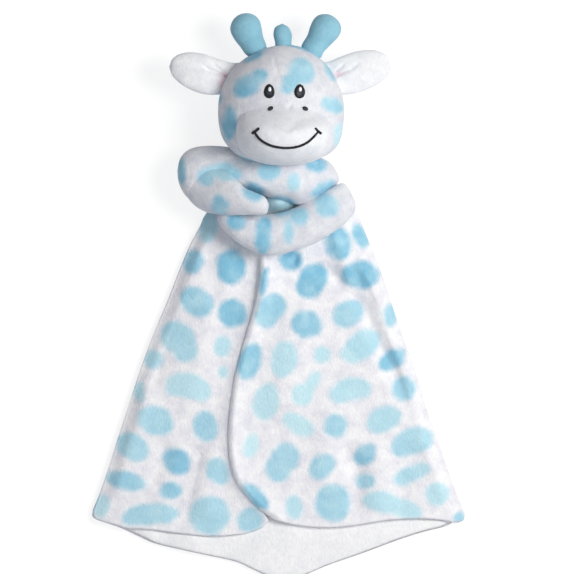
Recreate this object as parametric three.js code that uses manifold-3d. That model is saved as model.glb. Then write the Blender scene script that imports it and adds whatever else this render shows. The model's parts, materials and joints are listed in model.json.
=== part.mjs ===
// A comfort blanket for a baby: a soft giraffe head on a spotted, lined blanket whose stuffed arms hug each other.
// Sizes are in millimetres. The toy lies on its back: +Z comes out of its face and +Y runs to the top of its head.
// The origin is under the middle of the toy, on the surface that it lies on. Left and right are the viewer's.
import * as THREE from 'three';
import { mergeVertices } from 'three/addons/utils/BufferGeometryUtils.js';
import Module from 'manifold-3d';

const wasm = await Module();
wasm.setup();

// Whole toy
const TOTAL_LENGTH = 426;
const BLANKET_WIDTH = 282;
const GAP = 0.3;
const SWEEP_GAP = 0.8;
const SKIN = 2;
const WELD = 1e-4;
const INNER_FACES_SHARE = 0.7;

// Blanket
const CLOTH = 2;
const BACK_TOP_WIDTH = 96;
const BACK_TOP_DROP = 4;
const KNOT_DROP = 72;
const KNOT_RISE = 5;
const FOLD_HEIGHT = 5;
const CREASE_GAP = 0.3;

// Head
const HEAD_WIDTH = 95;
const HEAD_HEIGHT = 88;
const HEAD_DEPTH = 80;
const HEAD_FLAT = 0.5;
const MUZZLE_WIDTH = 73;
const MUZZLE_HEIGHT = 47;
const MUZZLE_DEPTH = 72;
const MUZZLE_RIGHT = 4;
const MUZZLE_DROP = 20;
const MUZZLE_TOP = 102;
const HEAD_SQUARE_SHARE = 0.9;
const MUZZLE_SQUARE_SHARE = 0.94;
const NECK_WIDTH = 26;
const NECK_BALL_WIDTH = 30;
const NECK_INSIDE = 22;
const NECK_PIVOT_DROP = 6;
const NECK_AXIS_HEIGHT = 35;
const TURN_ROOM = 2;

// Face
const EYE_WIDTH = 7.5;
const EYE_HEIGHT = 10;
const EYE_SPREAD = 23;
const EYE_MIDDLE = 3.3;
const EYE_RISE = 11.2;
const GLINT_WIDTH = 3;
const GLINT_HEIGHT = 4.5;
const GLINT_RISE = 1.4;
const STITCH_DEPTH = 0.8;
const NOSTRIL_WIDTH = 4.2;
const NOSTRIL_HEIGHT = 3;
const NOSTRIL_SPREAD = 26;
const NOSTRIL_MIDDLE = 4.7;
const NOSTRIL_RISE = 18.6;
const SMILE_WIDTH = 48;
const SMILE_DROP = 11.5;
const SMILE_RISE = 1;
const SMILE_STITCH = 1.6;

// Ears, horns and the tuft of hair
const EAR_LENGTH = 43;
const EAR_WIDTH = 29;
const EAR_THICK = 9;
const EAR_RISE = 20.3;
const EAR_LIFT = 14;
const HORN_LENGTH = 30;
const HORN_NECK_WIDTH = 13.5;
const HORN_KNOB_WIDTH = 24;
const HORN_ACROSS_SHARES = { left: -0.19, right: 0.253 };
const LEFT_HORN_LEAN = 23.5;
const RIGHT_HORN_LEAN = 31;
const TUFT_LENGTH = 18;
const TUFT_WIDTH = 14;
const TUFT_ACROSS_SHARE = 0.032;
const ROOT_DEPTH = 6;

// Chest and arms
const SHOULDER_WIDTH = 134;
const CHEST_DEPTH = 48;
const CHEST_ROUND = 20;
const UPPER_ARM_DEPTH = 40;
const UPPER_ARM_ROUND = 16;
const FOREARM_WIDTH = 31;
const FOREARM_DEPTH = 25;
const FOREARM_HEIGHT = 27;
const FOREARM_CLIMB = 26;
const RIGHT_ARM_WIDTH = 40;
const RIGHT_ARM_DEPTH = 26;
const RIGHT_ARM_HEIGHT = 30;
const ARM_MOUTH = 16;
const ELBOW_MOUTH_SHARE = 0.45;
const SHOULDER_MOUTH_SHARES = [0.4, 0.2];

// Turns of the joints, in degrees
const NOD_TURNS = [0, 10, 20];
const EAR_TURNS = [-40, -20, 0, 20, 40];
const HORN_TURNS = [-15, 0, 15];
const TUFT_TURNS = [-12, 0, 12];
const ELBOW_TURNS = [0, 17, 34, 52, 70, 88, 105, 120];
const SHOULDER_TURNS = [0, 15, 30, 45, 60, 75];

// Places worked out from the sizes above
const BACK_TOP = 2 * CLOTH + GAP;
const SEAT = BACK_TOP + GAP;
// Where the head's outline is, level with its middle: how far up at a place across, and how far across at a place up.
const onOutline = (share) => (1 - Math.abs(share) ** (2 / HEAD_SQUARE_SHARE)) ** (HEAD_SQUARE_SHARE / 2);
const headUp = (across) => onOutline(across / (HEAD_WIDTH / 2)) * HEAD_HEIGHT / 2;
const headAcross = (up) => onOutline(up / (HEAD_HEIGHT / 2)) * HEAD_WIDTH / 2;
const hornTop = (across, lean) => headUp(across) + HORN_KNOB_WIDTH / 2
  + (HORN_LENGTH - HORN_KNOB_WIDTH / 2) * Math.cos(THREE.MathUtils.degToRad(lean));
const LEFT_HORN_ACROSS = HORN_ACROSS_SHARES.left * HEAD_WIDTH;
const RIGHT_HORN_ACROSS = HORN_ACROSS_SHARES.right * HEAD_WIDTH;
const HEAD_MIDDLE = new THREE.Vector3(0, 0, HEAD_DEPTH / 2 - HEAD_FLAT);
HEAD_MIDDLE.y = TOTAL_LENGTH / 2 - hornTop(LEFT_HORN_ACROSS, LEFT_HORN_LEAN);
const NECK_Y = HEAD_MIDDLE.y - HEAD_HEIGHT / 2;
const NECK_PIVOT = new THREE.Vector3(0, NECK_Y - NECK_PIVOT_DROP, NECK_AXIS_HEIGHT);
const MUZZLE_MIDDLE = new THREE.Vector3(MUZZLE_RIGHT, HEAD_MIDDLE.y - MUZZLE_DROP, MUZZLE_TOP - MUZZLE_DEPTH / 2);
const HEM_Y = -TOTAL_LENGTH / 2;
const KNOT_Y = NECK_Y - KNOT_DROP;
const SKIRT_LENGTH = KNOT_Y - HEM_Y;
const TUFT_ACROSS = TUFT_ACROSS_SHARE * HEAD_WIDTH;
const X_AXIS = new THREE.Vector3(1, 0, 0);
const Y_AXIS = new THREE.Vector3(0, 1, 0);
const Z_AXIS = new THREE.Vector3(0, 0, 1);

// Materials, with the colours seen on the toy
const cloth = (name, color, roughness) =>
  Object.assign(new THREE.MeshStandardMaterial({ color, roughness, metalness: 0 }), { name });
const spottedPlush = cloth('spotted_plush', 0xdfe3ee, 0.95);
const whitePlush = cloth('white_plush', 0xf3f1f6, 0.95);
const liningPlush = cloth('lining_plush', 0xf4f3f7, 0.95);
const bluePlush = cloth('blue_plush', 0x96cce6, 0.95);
const wadding = cloth('wadding', 0xfafafa, 1);
const blackThread = cloth('black_thread', 0x16161a, 0.6);
const whiteThread = cloth('white_thread', 0xffffff, 0.6);

// Closes a grid of rings between two end points into one skin.
function skinOfRings(first, rings, last) {
  const points = [first, ...rings.flat(), last];
  const sides = rings[0].length;
  const index = [];
  const at = (ring, side) => 1 + ring * sides + (side % sides);
  for (let side = 0; side < sides; side++) {
    index.push(0, at(0, side + 1), at(0, side));
    index.push(points.length - 1, at(rings.length - 1, side), at(rings.length - 1, side + 1));
    for (let ring = 0; ring + 1 < rings.length; ring++) {
      index.push(at(ring, side), at(ring, side + 1), at(ring + 1, side + 1));
      index.push(at(ring, side), at(ring + 1, side + 1), at(ring + 1, side));
    }
  }
  const geometry = new THREE.BufferGeometry().setFromPoints(points);
  geometry.setIndex(index);
  return geometry;
}

const CAP_STEPS = 4;

// A stuffed tube that swells and tapers along a path in a level plane, with round ends.
// Each station is [place, half width, half height]; an inset takes that much off all round.
function stuffedTube(stations, inset, outerSides, outerSteps) {
  const share = inset > 0 ? INNER_FACES_SHARE : 1;
  const sides = Math.ceil(outerSides * share);
  const steps = Math.ceil(outerSteps * share);
  const caps = Math.ceil(CAP_STEPS * share);
  const path = new THREE.CatmullRomCurve3(stations.map(([place]) => place));
  const sizes = new THREE.CatmullRomCurve3(stations.map(([, wide, high]) => new THREE.Vector3(wide, high, 0)));
  const rings = [];
  const ring = (t, swell, push) => {
    const along = path.getTangent(t);
    const across = new THREE.Vector3().crossVectors(Z_AXIS, along).normalize();
    const up = new THREE.Vector3().crossVectors(along, across);
    const size = sizes.getPoint(t);
    const wide = size.x - inset;
    const high = size.y - inset;
    const middle = path.getPoint(t).addScaledVector(along, push * wide);
    return Array.from({ length: sides }, (_, side) => {
      const turn = (side / sides) * 2 * Math.PI;
      return middle.clone()
        .addScaledVector(across, Math.cos(turn) * wide * swell)
        .addScaledVector(up, Math.sin(turn) * high * swell);
    });
  };
  for (let cap = 1; cap < caps; cap++) {
    const turn = (cap / caps) * Math.PI / 2;
    rings.push(ring(0, Math.sin(turn), -Math.cos(turn)));
  }
  for (let step = 0; step <= steps; step++) rings.push(ring(step / steps, 1, 0));
  for (let cap = caps - 1; cap > 0; cap--) {
    const turn = (cap / caps) * Math.PI / 2;
    rings.push(ring(1, Math.sin(turn), Math.cos(turn)));
  }
  return skinOfRings(ring(0, 0, -1)[0], rings, ring(1, 0, 1)[0]);
}

// A stuffed ball, a little squarer than an ellipsoid, that lies flat where it would go below the floor.
function stuffedBall(middle, halfSizes, inset, sides, rings, squareShare) {
  const share = inset > 0 ? INNER_FACES_SHARE : 1;
  const geometry = new THREE.SphereGeometry(1, Math.round(sides * share), Math.round(rings * share));
  const place = geometry.attributes.position;
  for (let i = 0; i < place.count; i++) {
    const swollen = (value, half) => Math.sign(value) * Math.abs(value) ** squareShare * (half - inset);
    place.setXYZ(
      i,
      middle.x + swollen(place.getX(i), halfSizes.x),
      middle.y + swollen(place.getY(i), halfSizes.y),
      Math.max(middle.z + swollen(place.getZ(i), halfSizes.z), Math.max(inset, 0)),
    );
  }
  return geometry;
}

// A sheet of cloth over a grid: place(across, along) is its resting line, low and high its two faces above that.
function clothSheet(place, columns, rows, low, high) {
  const points = [];
  for (const rise of [low, high]) {
    for (let row = 0; row <= rows; row++) {
      for (let column = 0; column <= columns; column++) {
        points.push(place(column / columns, row / rows).addScaledVector(Z_AXIS, rise));
      }
    }
  }
  const layer = (columns + 1) * (rows + 1);
  const at = (top, column, row) => top * layer + row * (columns + 1) + column;
  const index = [];
  const acrossStep = place(1, 0.5).sub(place(0, 0.5));
  const alongStep = place(0.5, 1).sub(place(0.5, 0));
  const facesUp = acrossStep.cross(alongStep).z > 0;
  const quad = (a, b, c, d) => (facesUp ? index.push(a, b, c, a, c, d) : index.push(a, c, b, a, d, c));
  for (let row = 0; row < rows; row++) {
    for (let column = 0; column < columns; column++) {
      quad(at(1, column, row), at(1, column + 1, row), at(1, column + 1, row + 1), at(1, column, row + 1));
      quad(at(0, column, row), at(0, column, row + 1), at(0, column + 1, row + 1), at(0, column + 1, row));
    }
    quad(at(0, 0, row), at(1, 0, row), at(1, 0, row + 1), at(0, 0, row + 1));
    quad(at(0, columns, row + 1), at(1, columns, row + 1), at(1, columns, row), at(0, columns, row));
  }
  for (let column = 0; column < columns; column++) {
    quad(at(0, column + 1, 0), at(1, column + 1, 0), at(1, column, 0), at(0, column, 0));
    quad(at(0, column, rows), at(1, column, rows), at(1, column + 1, rows), at(0, column + 1, rows));
  }
  const geometry = new THREE.BufferGeometry().setFromPoints(points);
  geometry.setIndex(index);
  return geometry;
}

// Joins and cuts
function solidOf(geometry) {
  const bare = new THREE.BufferGeometry();
  bare.setAttribute('position', geometry.attributes.position.clone());
  if (geometry.index) bare.setIndex(geometry.index.clone());
  const merged = mergeVertices(bare, WELD);
  return new wasm.Manifold(new wasm.Mesh({
    numProp: 3,
    vertProperties: new Float32Array(merged.attributes.position.array),
    triVerts: new Uint32Array(merged.index.array),
  }));
}

function geometryOf(solid) {
  const mesh = solid.getMesh();
  const geometry = new THREE.BufferGeometry();
  geometry.setAttribute('position', new THREE.BufferAttribute(mesh.vertProperties, 3));
  geometry.setIndex(new THREE.BufferAttribute(mesh.triVerts, 1));
  geometry.computeVertexNormals();
  return geometry;
}

const without = (solid, cutters) => cutters.reduce((left, cutter) => left.subtract(cutter), solid);

// A turn about a line, as a matrix.
function turnAbout(pivot, axis, degrees) {
  return new THREE.Matrix4().makeTranslation(pivot.x, pivot.y, pivot.z)
    .multiply(new THREE.Matrix4().makeRotationAxis(axis, THREE.MathUtils.degToRad(degrees)))
    .multiply(new THREE.Matrix4().makeTranslation(-pivot.x, -pivot.y, -pivot.z));
}

// The room that a form takes as it turns about a line.
const sweep = (form, pivot, axis, turns) =>
  turns.map((degrees) => solidOf(form.clone().applyMatrix4(turnAbout(pivot, axis, degrees))));

const pieces = new THREE.Group();

function addPiece(name, shape, material) {
  const geometry = shape.isBufferGeometry ? shape : geometryOf(shape);
  const mesh = new THREE.Mesh(geometry, material.clone());
  mesh.name = name;
  pieces.add(mesh);
}

// A sewn skin and the wadding that fills it. form(inset) is the whole form less that much all round, room is what it
// keeps clear of, and mouths are where the skin is open towards its neighbour.
function addStuffed(name, form, room, mouths, material) {
  addPiece(`${name}_cover`, without(solidOf(form(0)), [...room, solidOf(form(SKIN)), ...mouths]), material);
  addPiece(`${name}_wadding`, without(solidOf(form(SKIN + GAP)), room), wadding);
}

// Head and muzzle
const HEAD_HALF = new THREE.Vector3(HEAD_WIDTH / 2, HEAD_HEIGHT / 2, HEAD_DEPTH / 2);
const MUZZLE_HALF = new THREE.Vector3(MUZZLE_WIDTH / 2, MUZZLE_HEIGHT / 2, MUZZLE_DEPTH / 2);
const headForm = (inset) => stuffedBall(HEAD_MIDDLE, HEAD_HALF, inset, 24, 15, HEAD_SQUARE_SHARE);
const muzzleForm = (inset) => stuffedBall(MUZZLE_MIDDLE, MUZZLE_HALF, inset, 22, 13, MUZZLE_SQUARE_SHARE);

// The neck turns in the head's opening and nods on a ball in the chest.
function neckForm(inset) {
  const ball = NECK_BALL_WIDTH / 2 - inset;
  const radius = NECK_WIDTH / 2 - inset;
  const top = NECK_PIVOT_DROP + NECK_INSIDE - inset;
  const shoulder = Math.asin(radius / ball);
  const profile = [new THREE.Vector2(0, -ball)];
  for (let step = 1; step <= 8; step++) {
    const turn = (step / 8) * (Math.PI - shoulder);
    profile.push(new THREE.Vector2(ball * Math.sin(turn), -ball * Math.cos(turn)));
  }
  profile.push(new THREE.Vector2(radius, top), new THREE.Vector2(0, top));
  return new THREE.LatheGeometry(profile, 20).translate(NECK_PIVOT.x, NECK_PIVOT.y, NECK_PIVOT.z);
}

const neckHole = solidOf(neckForm(-GAP));
addStuffed('head', headForm, [neckHole], [], spottedPlush);
addStuffed('muzzle', muzzleForm, [solidOf(headForm(-GAP))], [], whitePlush);
addPiece('neck_wadding', solidOf(neckForm(0)), wadding);

// Stitching lies on a form as a thin patch, cut out of the room just over it by an upright outline.
function stitching(form, level, low, outlines) {
  const shell = solidOf(form(-low - STITCH_DEPTH)).subtract(solidOf(form(-low)));
  const upright = outlines
    .map((outline) => new THREE.ExtrudeGeometry(outline, { depth: MUZZLE_TOP, bevelEnabled: false }))
    .map((geometry) => solidOf(geometry.translate(0, 0, level)))
    .reduce((joined, part) => joined.add(part));
  return shell.intersect(upright);
}

const oval = (x, y, width, height) => new THREE.Shape(new THREE.Path()
  .absellipse(x, y, width / 2, height / 2, 0, 2 * Math.PI).getPoints(14).slice(0, -1));

// A stroke of thread: an even band along a curve.
function stroke(curve, width, steps) {
  const side = (t, way) => {
    const along = curve.getTangent(t);
    const place = curve.getPoint(t);
    return new THREE.Vector2(place.x - along.y * way * width / 2, place.y + along.x * way * width / 2);
  };
  const shares = Array.from({ length: steps + 1 }, (_, step) => step / steps);
  return new THREE.Shape([...shares.map((t) => side(t, -1)), ...shares.reverse().map((t) => side(t, 1))]);
}

for (const [side, way] of [['left', -1], ['right', 1]]) {
  const eyeX = EYE_MIDDLE + way * EYE_SPREAD / 2;
  const eyeY = HEAD_MIDDLE.y + EYE_RISE;
  const eye = oval(eyeX, eyeY, EYE_WIDTH, EYE_HEIGHT);
  const glint = oval(eyeX, eyeY + GLINT_RISE, GLINT_WIDTH, GLINT_HEIGHT);
  const nostrilX = NOSTRIL_MIDDLE + way * NOSTRIL_SPREAD / 2;
  const nostril = oval(nostrilX, MUZZLE_MIDDLE.y + NOSTRIL_RISE, NOSTRIL_WIDTH, NOSTRIL_HEIGHT);
  addPiece(`${side}_eye`, stitching(headForm, HEAD_MIDDLE.z, GAP, [eye]), blackThread);
  addPiece(`${side}_eye_glint`, stitching(headForm, HEAD_MIDDLE.z, 2 * GAP + STITCH_DEPTH, [glint]), whiteThread);
  const onMuzzle = stitching(muzzleForm, MUZZLE_MIDDLE.z, GAP, [nostril]);
  addPiece(`${side}_nostril`, onMuzzle.subtract(solidOf(headForm(-GAP))), blackThread);
}

// The smile, with a short cheek stitch across each end
const SMILE_SHARES = [[-0.5, 0], [-0.4, -0.5], [-0.2, -0.87], [0, -1], [0.2, -0.87], [0.4, -0.5], [0.5, 0]];
const CHEEK_SHARES = [[-0.07, -0.2], [0.07, 0.2]];
const smilePoint = ([across, down]) =>
  new THREE.Vector3(MUZZLE_MIDDLE.x + across * SMILE_WIDTH, MUZZLE_MIDDLE.y + SMILE_RISE + down * SMILE_DROP, 0);
const smile = stroke(new THREE.CatmullRomCurve3(SMILE_SHARES.map(smilePoint)), SMILE_STITCH, 16);
const cheeks = [-1, 1].map((way) => {
  const ends = CHEEK_SHARES.map(([across, up]) => smilePoint([way * (0.5 - across), up]));
  return stroke(new THREE.LineCurve3(...(way < 0 ? ends : ends.reverse())), SMILE_STITCH, 1);
});
addPiece('mouth_stitching', stitching(muzzleForm, MUZZLE_MIDDLE.z, GAP, [smile, ...cheeks]), blackThread);

// What is sewn to the head starts a little inside it, and is cut back by the room that the head takes as it bends.
function offHead(root, lean, length, shares, high) {
  const along = new THREE.Vector3(Math.sin(lean), Math.cos(lean), 0);
  const start = root.clone().addScaledVector(along, -ROOT_DEPTH);
  const reach = length + ROOT_DEPTH;
  const place = (share) => start.clone().addScaledVector(along, share * reach);
  return shares.map(([share, wide, deep]) => [place(share), wide, deep * high]);
}

// Ears: two plies sewn along the rim, padded, folding on the root line that follows the head's outline
const EAR_SHARES = [[0, 0.8, 1], [0.3, 1, 1], [0.6, 0.86, 0.9], [0.82, 0.5, 0.6]];
for (const [side, way] of [['left', -1], ['right', 1]]) {
  const root = new THREE.Vector3(way * headAcross(EAR_RISE), HEAD_MIDDLE.y + EAR_RISE, HEAD_MIDDLE.z);
  const lean = way * THREE.MathUtils.degToRad(90 - EAR_LIFT);
  const shares = EAR_SHARES.map(([share, wide, high]) => [share, wide * EAR_WIDTH / 2, high]);
  const stations = offHead(root, lean, EAR_LENGTH, shares, EAR_THICK / 2);
  const slope = 2 / HEAD_SQUARE_SHARE - 1;
  const across = (Math.abs(root.x) / (HEAD_WIDTH / 2)) ** slope / HEAD_WIDTH;
  const up = (EAR_RISE / (HEAD_HEIGHT / 2)) ** slope / HEAD_HEIGHT;
  const rootLine = new THREE.Vector3(-way * up, across, 0).normalize();
  const headRoom = sweep(headForm(-GAP), root, rootLine, EAR_TURNS);
  const ear = without(solidOf(stuffedTube(stations, 0, 12, 6)), headRoom);
  const half = (sign) => new THREE.BoxGeometry(4 * EAR_LENGTH, 4 * EAR_LENGTH, EAR_THICK)
    .translate(root.x, root.y, root.z + sign * (EAR_THICK / 2 - GAP / 2));
  addPiece(`${side}_ear_front`, ear.subtract(solidOf(half(-1))), whitePlush);
  addPiece(`${side}_ear_back`, ear.subtract(solidOf(half(1))), spottedPlush);
}

// Horns, each a stuffed stem with a round knob, and the tuft of hair between them
const HORN_SHARES = [[0, 'neck'], [0.42, 'neck'], [0.66, 'knob']];
function addHorn(name, acrossHead, lean) {
  const root = new THREE.Vector3(acrossHead, HEAD_MIDDLE.y + headUp(acrossHead), HEAD_MIDDLE.z);
  const widths = { neck: HORN_NECK_WIDTH / 2, knob: HORN_KNOB_WIDTH / 2 };
  const shares = HORN_SHARES.map(([share, width]) => [share, widths[width], 1]);
  const form = (inset) => {
    const stations = offHead(root, THREE.MathUtils.degToRad(lean), HORN_LENGTH, shares, 1)
      .map(([place, wide]) => [place, wide, wide]);
    return stuffedTube(stations, inset, 10, 6);
  };
  const headRoom = sweep(headForm(-GAP), root, Z_AXIS, HORN_TURNS);
  addStuffed(name, form, headRoom, [], bluePlush);
}
addHorn('left_horn', LEFT_HORN_ACROSS, -LEFT_HORN_LEAN);
addHorn('right_horn', RIGHT_HORN_ACROSS, RIGHT_HORN_LEAN);

const TUFT_SHARES = [[0, 0.8, 0.8], [0.35, 1, 0.9], [0.62, 0.85, 0.8]];
const tuftRoot = new THREE.Vector3(TUFT_ACROSS, HEAD_MIDDLE.y + headUp(TUFT_ACROSS), HEAD_MIDDLE.z);
const tuftStations = offHead(tuftRoot, 0, TUFT_LENGTH, TUFT_SHARES, TUFT_WIDTH / 2)
  .map(([place, wide, high]) => [place, wide * TUFT_WIDTH / 2, high]);
const tuftRoom = sweep(headForm(-GAP), tuftRoot, Z_AXIS, TUFT_TURNS);
addPiece('hair_tuft', without(solidOf(stuffedTube(tuftStations, 0, 10, 4)), tuftRoom), bluePlush);

// Chest and arms. Places are shares of the shoulder width, across and down from the neck.
const bodyPlace = (across, down, height) =>
  new THREE.Vector3(across * SHOULDER_WIDTH, NECK_Y - down * SHOULDER_WIDTH, height);
const CHEST_SHARES = [[-0.16, 0.07], [0.02, 0.095], [0.21, 0.115]];
const UPPER_ARM_SHARES = [[-0.25, 0.025], [-0.35, 0.02], [-0.445, 0.045]];
// across, down, climb over the other arm, width, depth
const FOREARM_SHARES = [
  [-0.459, 0.162, 0, 0.9, 1], [-0.31, 0.168, 0.5, 1, 0.98], [-0.196, 0.19, 0.85, 0.74, 0.78],
  [-0.123, 0.222, 0.97, 0.5, 0.56], [-0.07, 0.245, 1, 0.3, 0.4],
];
const RIGHT_ARM_SHARES = [
  [0.297, 0.218, 0.9, 1], [0.179, 0.308, 0.82, 1], [0.028, 0.364, 0.87, 1], [-0.2, 0.362, 1, 0.96],
];
const seated = (shares, round, depth) =>
  shares.map(([across, down]) => [bodyPlace(across, down, SEAT + depth / 2), round, depth / 2]);
const chestForm = (inset) => stuffedTube(seated(CHEST_SHARES, CHEST_ROUND, CHEST_DEPTH), inset, 14, 5);
const upperArmForm = (inset) =>
  stuffedTube(seated(UPPER_ARM_SHARES, UPPER_ARM_ROUND, UPPER_ARM_DEPTH), inset, 12, 4);
const forearmForm = (inset) => stuffedTube(
  FOREARM_SHARES.map(([across, down, climb, wide, deep]) => [
    bodyPlace(across, down, FOREARM_HEIGHT + climb * FOREARM_CLIMB),
    wide * FOREARM_WIDTH / 2,
    deep * FOREARM_DEPTH / 2,
  ]),
  inset, 14, 8,
);
const rightArmForm = (inset) => stuffedTube(
  RIGHT_ARM_SHARES.map(([across, down, wide, deep]) =>
    [bodyPlace(across, down, RIGHT_ARM_HEIGHT), wide * RIGHT_ARM_WIDTH / 2, deep * RIGHT_ARM_DEPTH / 2]),
  inset, 14, 8,
);
const elbow = bodyPlace(FOREARM_SHARES[0][0], FOREARM_SHARES[0][1], FOREARM_HEIGHT);
const shoulder = bodyPlace(RIGHT_ARM_SHARES[0][0], RIGHT_ARM_SHARES[0][1], RIGHT_ARM_HEIGHT);

// The head turns about the neck inside a ball that is as deep as it is wide.
const turningHalf = new THREE.Vector3(HEAD_WIDTH / 2, HEAD_HEIGHT / 2, HEAD_WIDTH / 2);
const turningMiddle = new THREE.Vector3(0, HEAD_MIDDLE.y, NECK_AXIS_HEIGHT);
const turningHead = stuffedBall(turningMiddle, turningHalf, -TURN_ROOM, 20, 12, HEAD_SQUARE_SHARE);
const headRoom = sweep(turningHead, NECK_PIVOT, X_AXIS, NOD_TURNS);
const muzzleRoom = sweep(muzzleForm(-SWEEP_GAP), NECK_PIVOT, X_AXIS, NOD_TURNS);
const neckSocket = solidOf(new THREE.SphereGeometry(NECK_BALL_WIDTH / 2 + SWEEP_GAP, 18, 12)
  .translate(NECK_PIVOT.x, NECK_PIVOT.y, NECK_PIVOT.z));
const forearmRoom = sweep(forearmForm(-SWEEP_GAP), elbow, Y_AXIS, ELBOW_TURNS.map((turn) => -turn));
const rightArmRoom = sweep(rightArmForm(-SWEEP_GAP), shoulder, Z_AXIS, SHOULDER_TURNS);
const mouthAt = (place) => solidOf(new THREE.SphereGeometry(ARM_MOUTH / 2, 10, 8)
  .translate(place.x, place.y, place.z));

// The arms come near the chest only in their first turns.
const chestRoom = [...headRoom, ...muzzleRoom, neckSocket, ...forearmRoom.slice(0, 3), ...rightArmRoom.slice(0, 2)];
addStuffed('chest', chestForm, chestRoom, [], spottedPlush);
const upperArmRoom = [solidOf(chestForm(-GAP)), headRoom[0], ...forearmRoom];
addStuffed('left_upper_arm', upperArmForm, upperArmRoom, [], spottedPlush);
const elbowMouth = mouthAt(elbow.clone().addScaledVector(X_AXIS, -FOREARM_WIDTH * ELBOW_MOUTH_SHARE));
addStuffed('left_forearm', forearmForm, rightArmRoom, [elbowMouth], spottedPlush);
const [mouthAcross, mouthUp] = SHOULDER_MOUTH_SHARES.map((share) => share * RIGHT_ARM_WIDTH);
const shoulderMouth = mouthAt(shoulder.clone().add(new THREE.Vector3(mouthAcross, mouthUp, 0)));
addStuffed('right_arm', rightArmForm, [], [shoulderMouth], spottedPlush);

// Blanket. Places are shares of half its width, across, and of the skirt's length, down from the knot.
const skirtPlace = ([across, down]) =>
  new THREE.Vector3(across * BLANKET_WIDTH / 2, KNOT_Y - down * SKIRT_LENGTH, 0);
const skirtCurve = (shares) => new THREE.CatmullRomCurve3(shares.map(skirtPlace));
const LEFT_SIDE_SHARES = [
  [-0.43, -0.14], [-0.543, 0.031], [-0.649, 0.181], [-0.75, 0.331], [-0.83, 0.481], [-0.91, 0.631], [-0.99, 0.775],
];
const RIGHT_SIDE_SHARES = [
  [0.38, -0.14], [0.532, 0.031], [0.628, 0.181], [0.697, 0.331], [0.782, 0.481], [0.883, 0.631], [0.99, 0.78],
];
const BACK_HEM_SHARES = [
  [0.899, 0.825], [0.771, 0.844], [0.644, 0.866], [0.452, 0.906], [0.255, 0.947], [0.096, 0.981], [0.027, 1],
  [-0.032, 0.981], [-0.165, 0.9625], [-0.25, 0.941], [-0.452, 0.9125], [-0.654, 0.881], [-0.856, 0.8375],
];
const CORNER_SHARES = { left: [-1, 0.79], right: [1, 0.8] };
const backTop = [-1, 1].map((way) => new THREE.Vector2(way * BACK_TOP_WIDTH / 2, NECK_Y - BACK_TOP_DROP));
const flat = (place) => new THREE.Vector2(place.x, place.y);
const backOutline = new THREE.Shape([
  ...LEFT_SIDE_SHARES.toReversed().map(skirtPlace).map(flat),
  ...backTop,
  ...RIGHT_SIDE_SHARES.map(skirtPlace).map(flat),
  flat(skirtPlace(CORNER_SHARES.right)),
  ...BACK_HEM_SHARES.map(skirtPlace).map(flat),
  flat(skirtPlace(CORNER_SHARES.left)),
]);
const backSheet = (level) =>
  new THREE.ExtrudeGeometry(backOutline, { depth: CLOTH, bevelEnabled: false }).translate(0, 0, level);
addPiece('back_outer_cloth', backSheet(0), spottedPlush);
addPiece('back_lining', backSheet(CLOTH + GAP), liningPlush);

// Each front panel is two plies. It is creased along a straight line from the knot to the blanket's corner:
// what lies outside the crease stays on the back panel, and what lies inside it opens as a flap.
const CREASE_SHARES = {
  left: [[-0.16, -0.006], [-0.973, 0.785]],
  right: [[-0.064, 0], [0.957, 0.8]],
};
const OPEN_EDGE_SHARES = {
  left: [
    [-0.125, 0.006], [-0.133, 0.106], [-0.17, 0.18], [-0.215, 0.26], [-0.265, 0.39], [-0.29, 0.503], [-0.29, 0.6],
    [-0.255, 0.694], [-0.185, 0.745], [-0.1, 0.795],
  ],
  right: [
    [-0.106, 0.0125], [-0.122, 0.108], [-0.154, 0.18], [-0.198, 0.26], [-0.25, 0.39], [-0.277, 0.503],
    [-0.277, 0.6], [-0.237, 0.694], [-0.197, 0.728],
  ],
};
const HEM_DROP_SHARES = {
  left: [0, 0.047, 0.053, 0.064, 0.061, 0.03],
  right: [0, 0.017, 0.04, 0.062, 0.066, 0],
};
const SIDE_SHARES = { left: LEFT_SIDE_SHARES, right: RIGHT_SIDE_SHARES };
const FOLD_COUNT = 2;
const smooth = (share) => share * share * (3 - 2 * share);

function creasePoint(side, along) {
  const [top, corner] = CREASE_SHARES[side].map(skirtPlace);
  return top.lerp(corner, along).setZ(SEAT + KNOT_RISE * (1 - along));
}

function creaseNormal(side) {
  const [top, corner] = CREASE_SHARES[side].map(skirtPlace);
  const along = corner.sub(top).normalize();
  return side === 'left' ? new THREE.Vector3(-along.y, along.x, 0) : new THREE.Vector3(along.y, -along.x, 0);
}

function flapPlace(side) {
  const edge = skirtCurve(OPEN_EDGE_SHARES[side]);
  const drops = HEM_DROP_SHARES[side].map((share) => new THREE.Vector3(0, -share * SKIRT_LENGTH, 0));
  const drop = new THREE.CatmullRomCurve3(drops);
  const inward = creaseNormal(side);
  return (across, along) => {
    const from = creasePoint(side, along).addScaledVector(inward, CREASE_GAP);
    const to = edge.getPoint(along).setZ(from.z);
    const fold = FOLD_HEIGHT * along * (1 - Math.cos(2 * Math.PI * FOLD_COUNT * across)) / 2;
    return from.lerp(to, across)
      .addScaledVector(drop.getPoint(across), along ** 4)
      .addScaledVector(Z_AXIS, fold);
  };
}

function yokePlace(side) {
  const rim = skirtCurve(SIDE_SHARES[side]);
  const outward = creaseNormal(side).negate();
  return (across, along) => {
    const from = creasePoint(side, along).addScaledVector(outward, CREASE_GAP);
    const to = rim.getPoint(along).setZ(SEAT);
    const fold = FOLD_HEIGHT * Math.sin(Math.PI * along) * Math.sin(Math.PI * across) ** 2 / 2;
    return from.lerp(to, across).addScaledVector(Z_AXIS, fold);
  };
}

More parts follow.
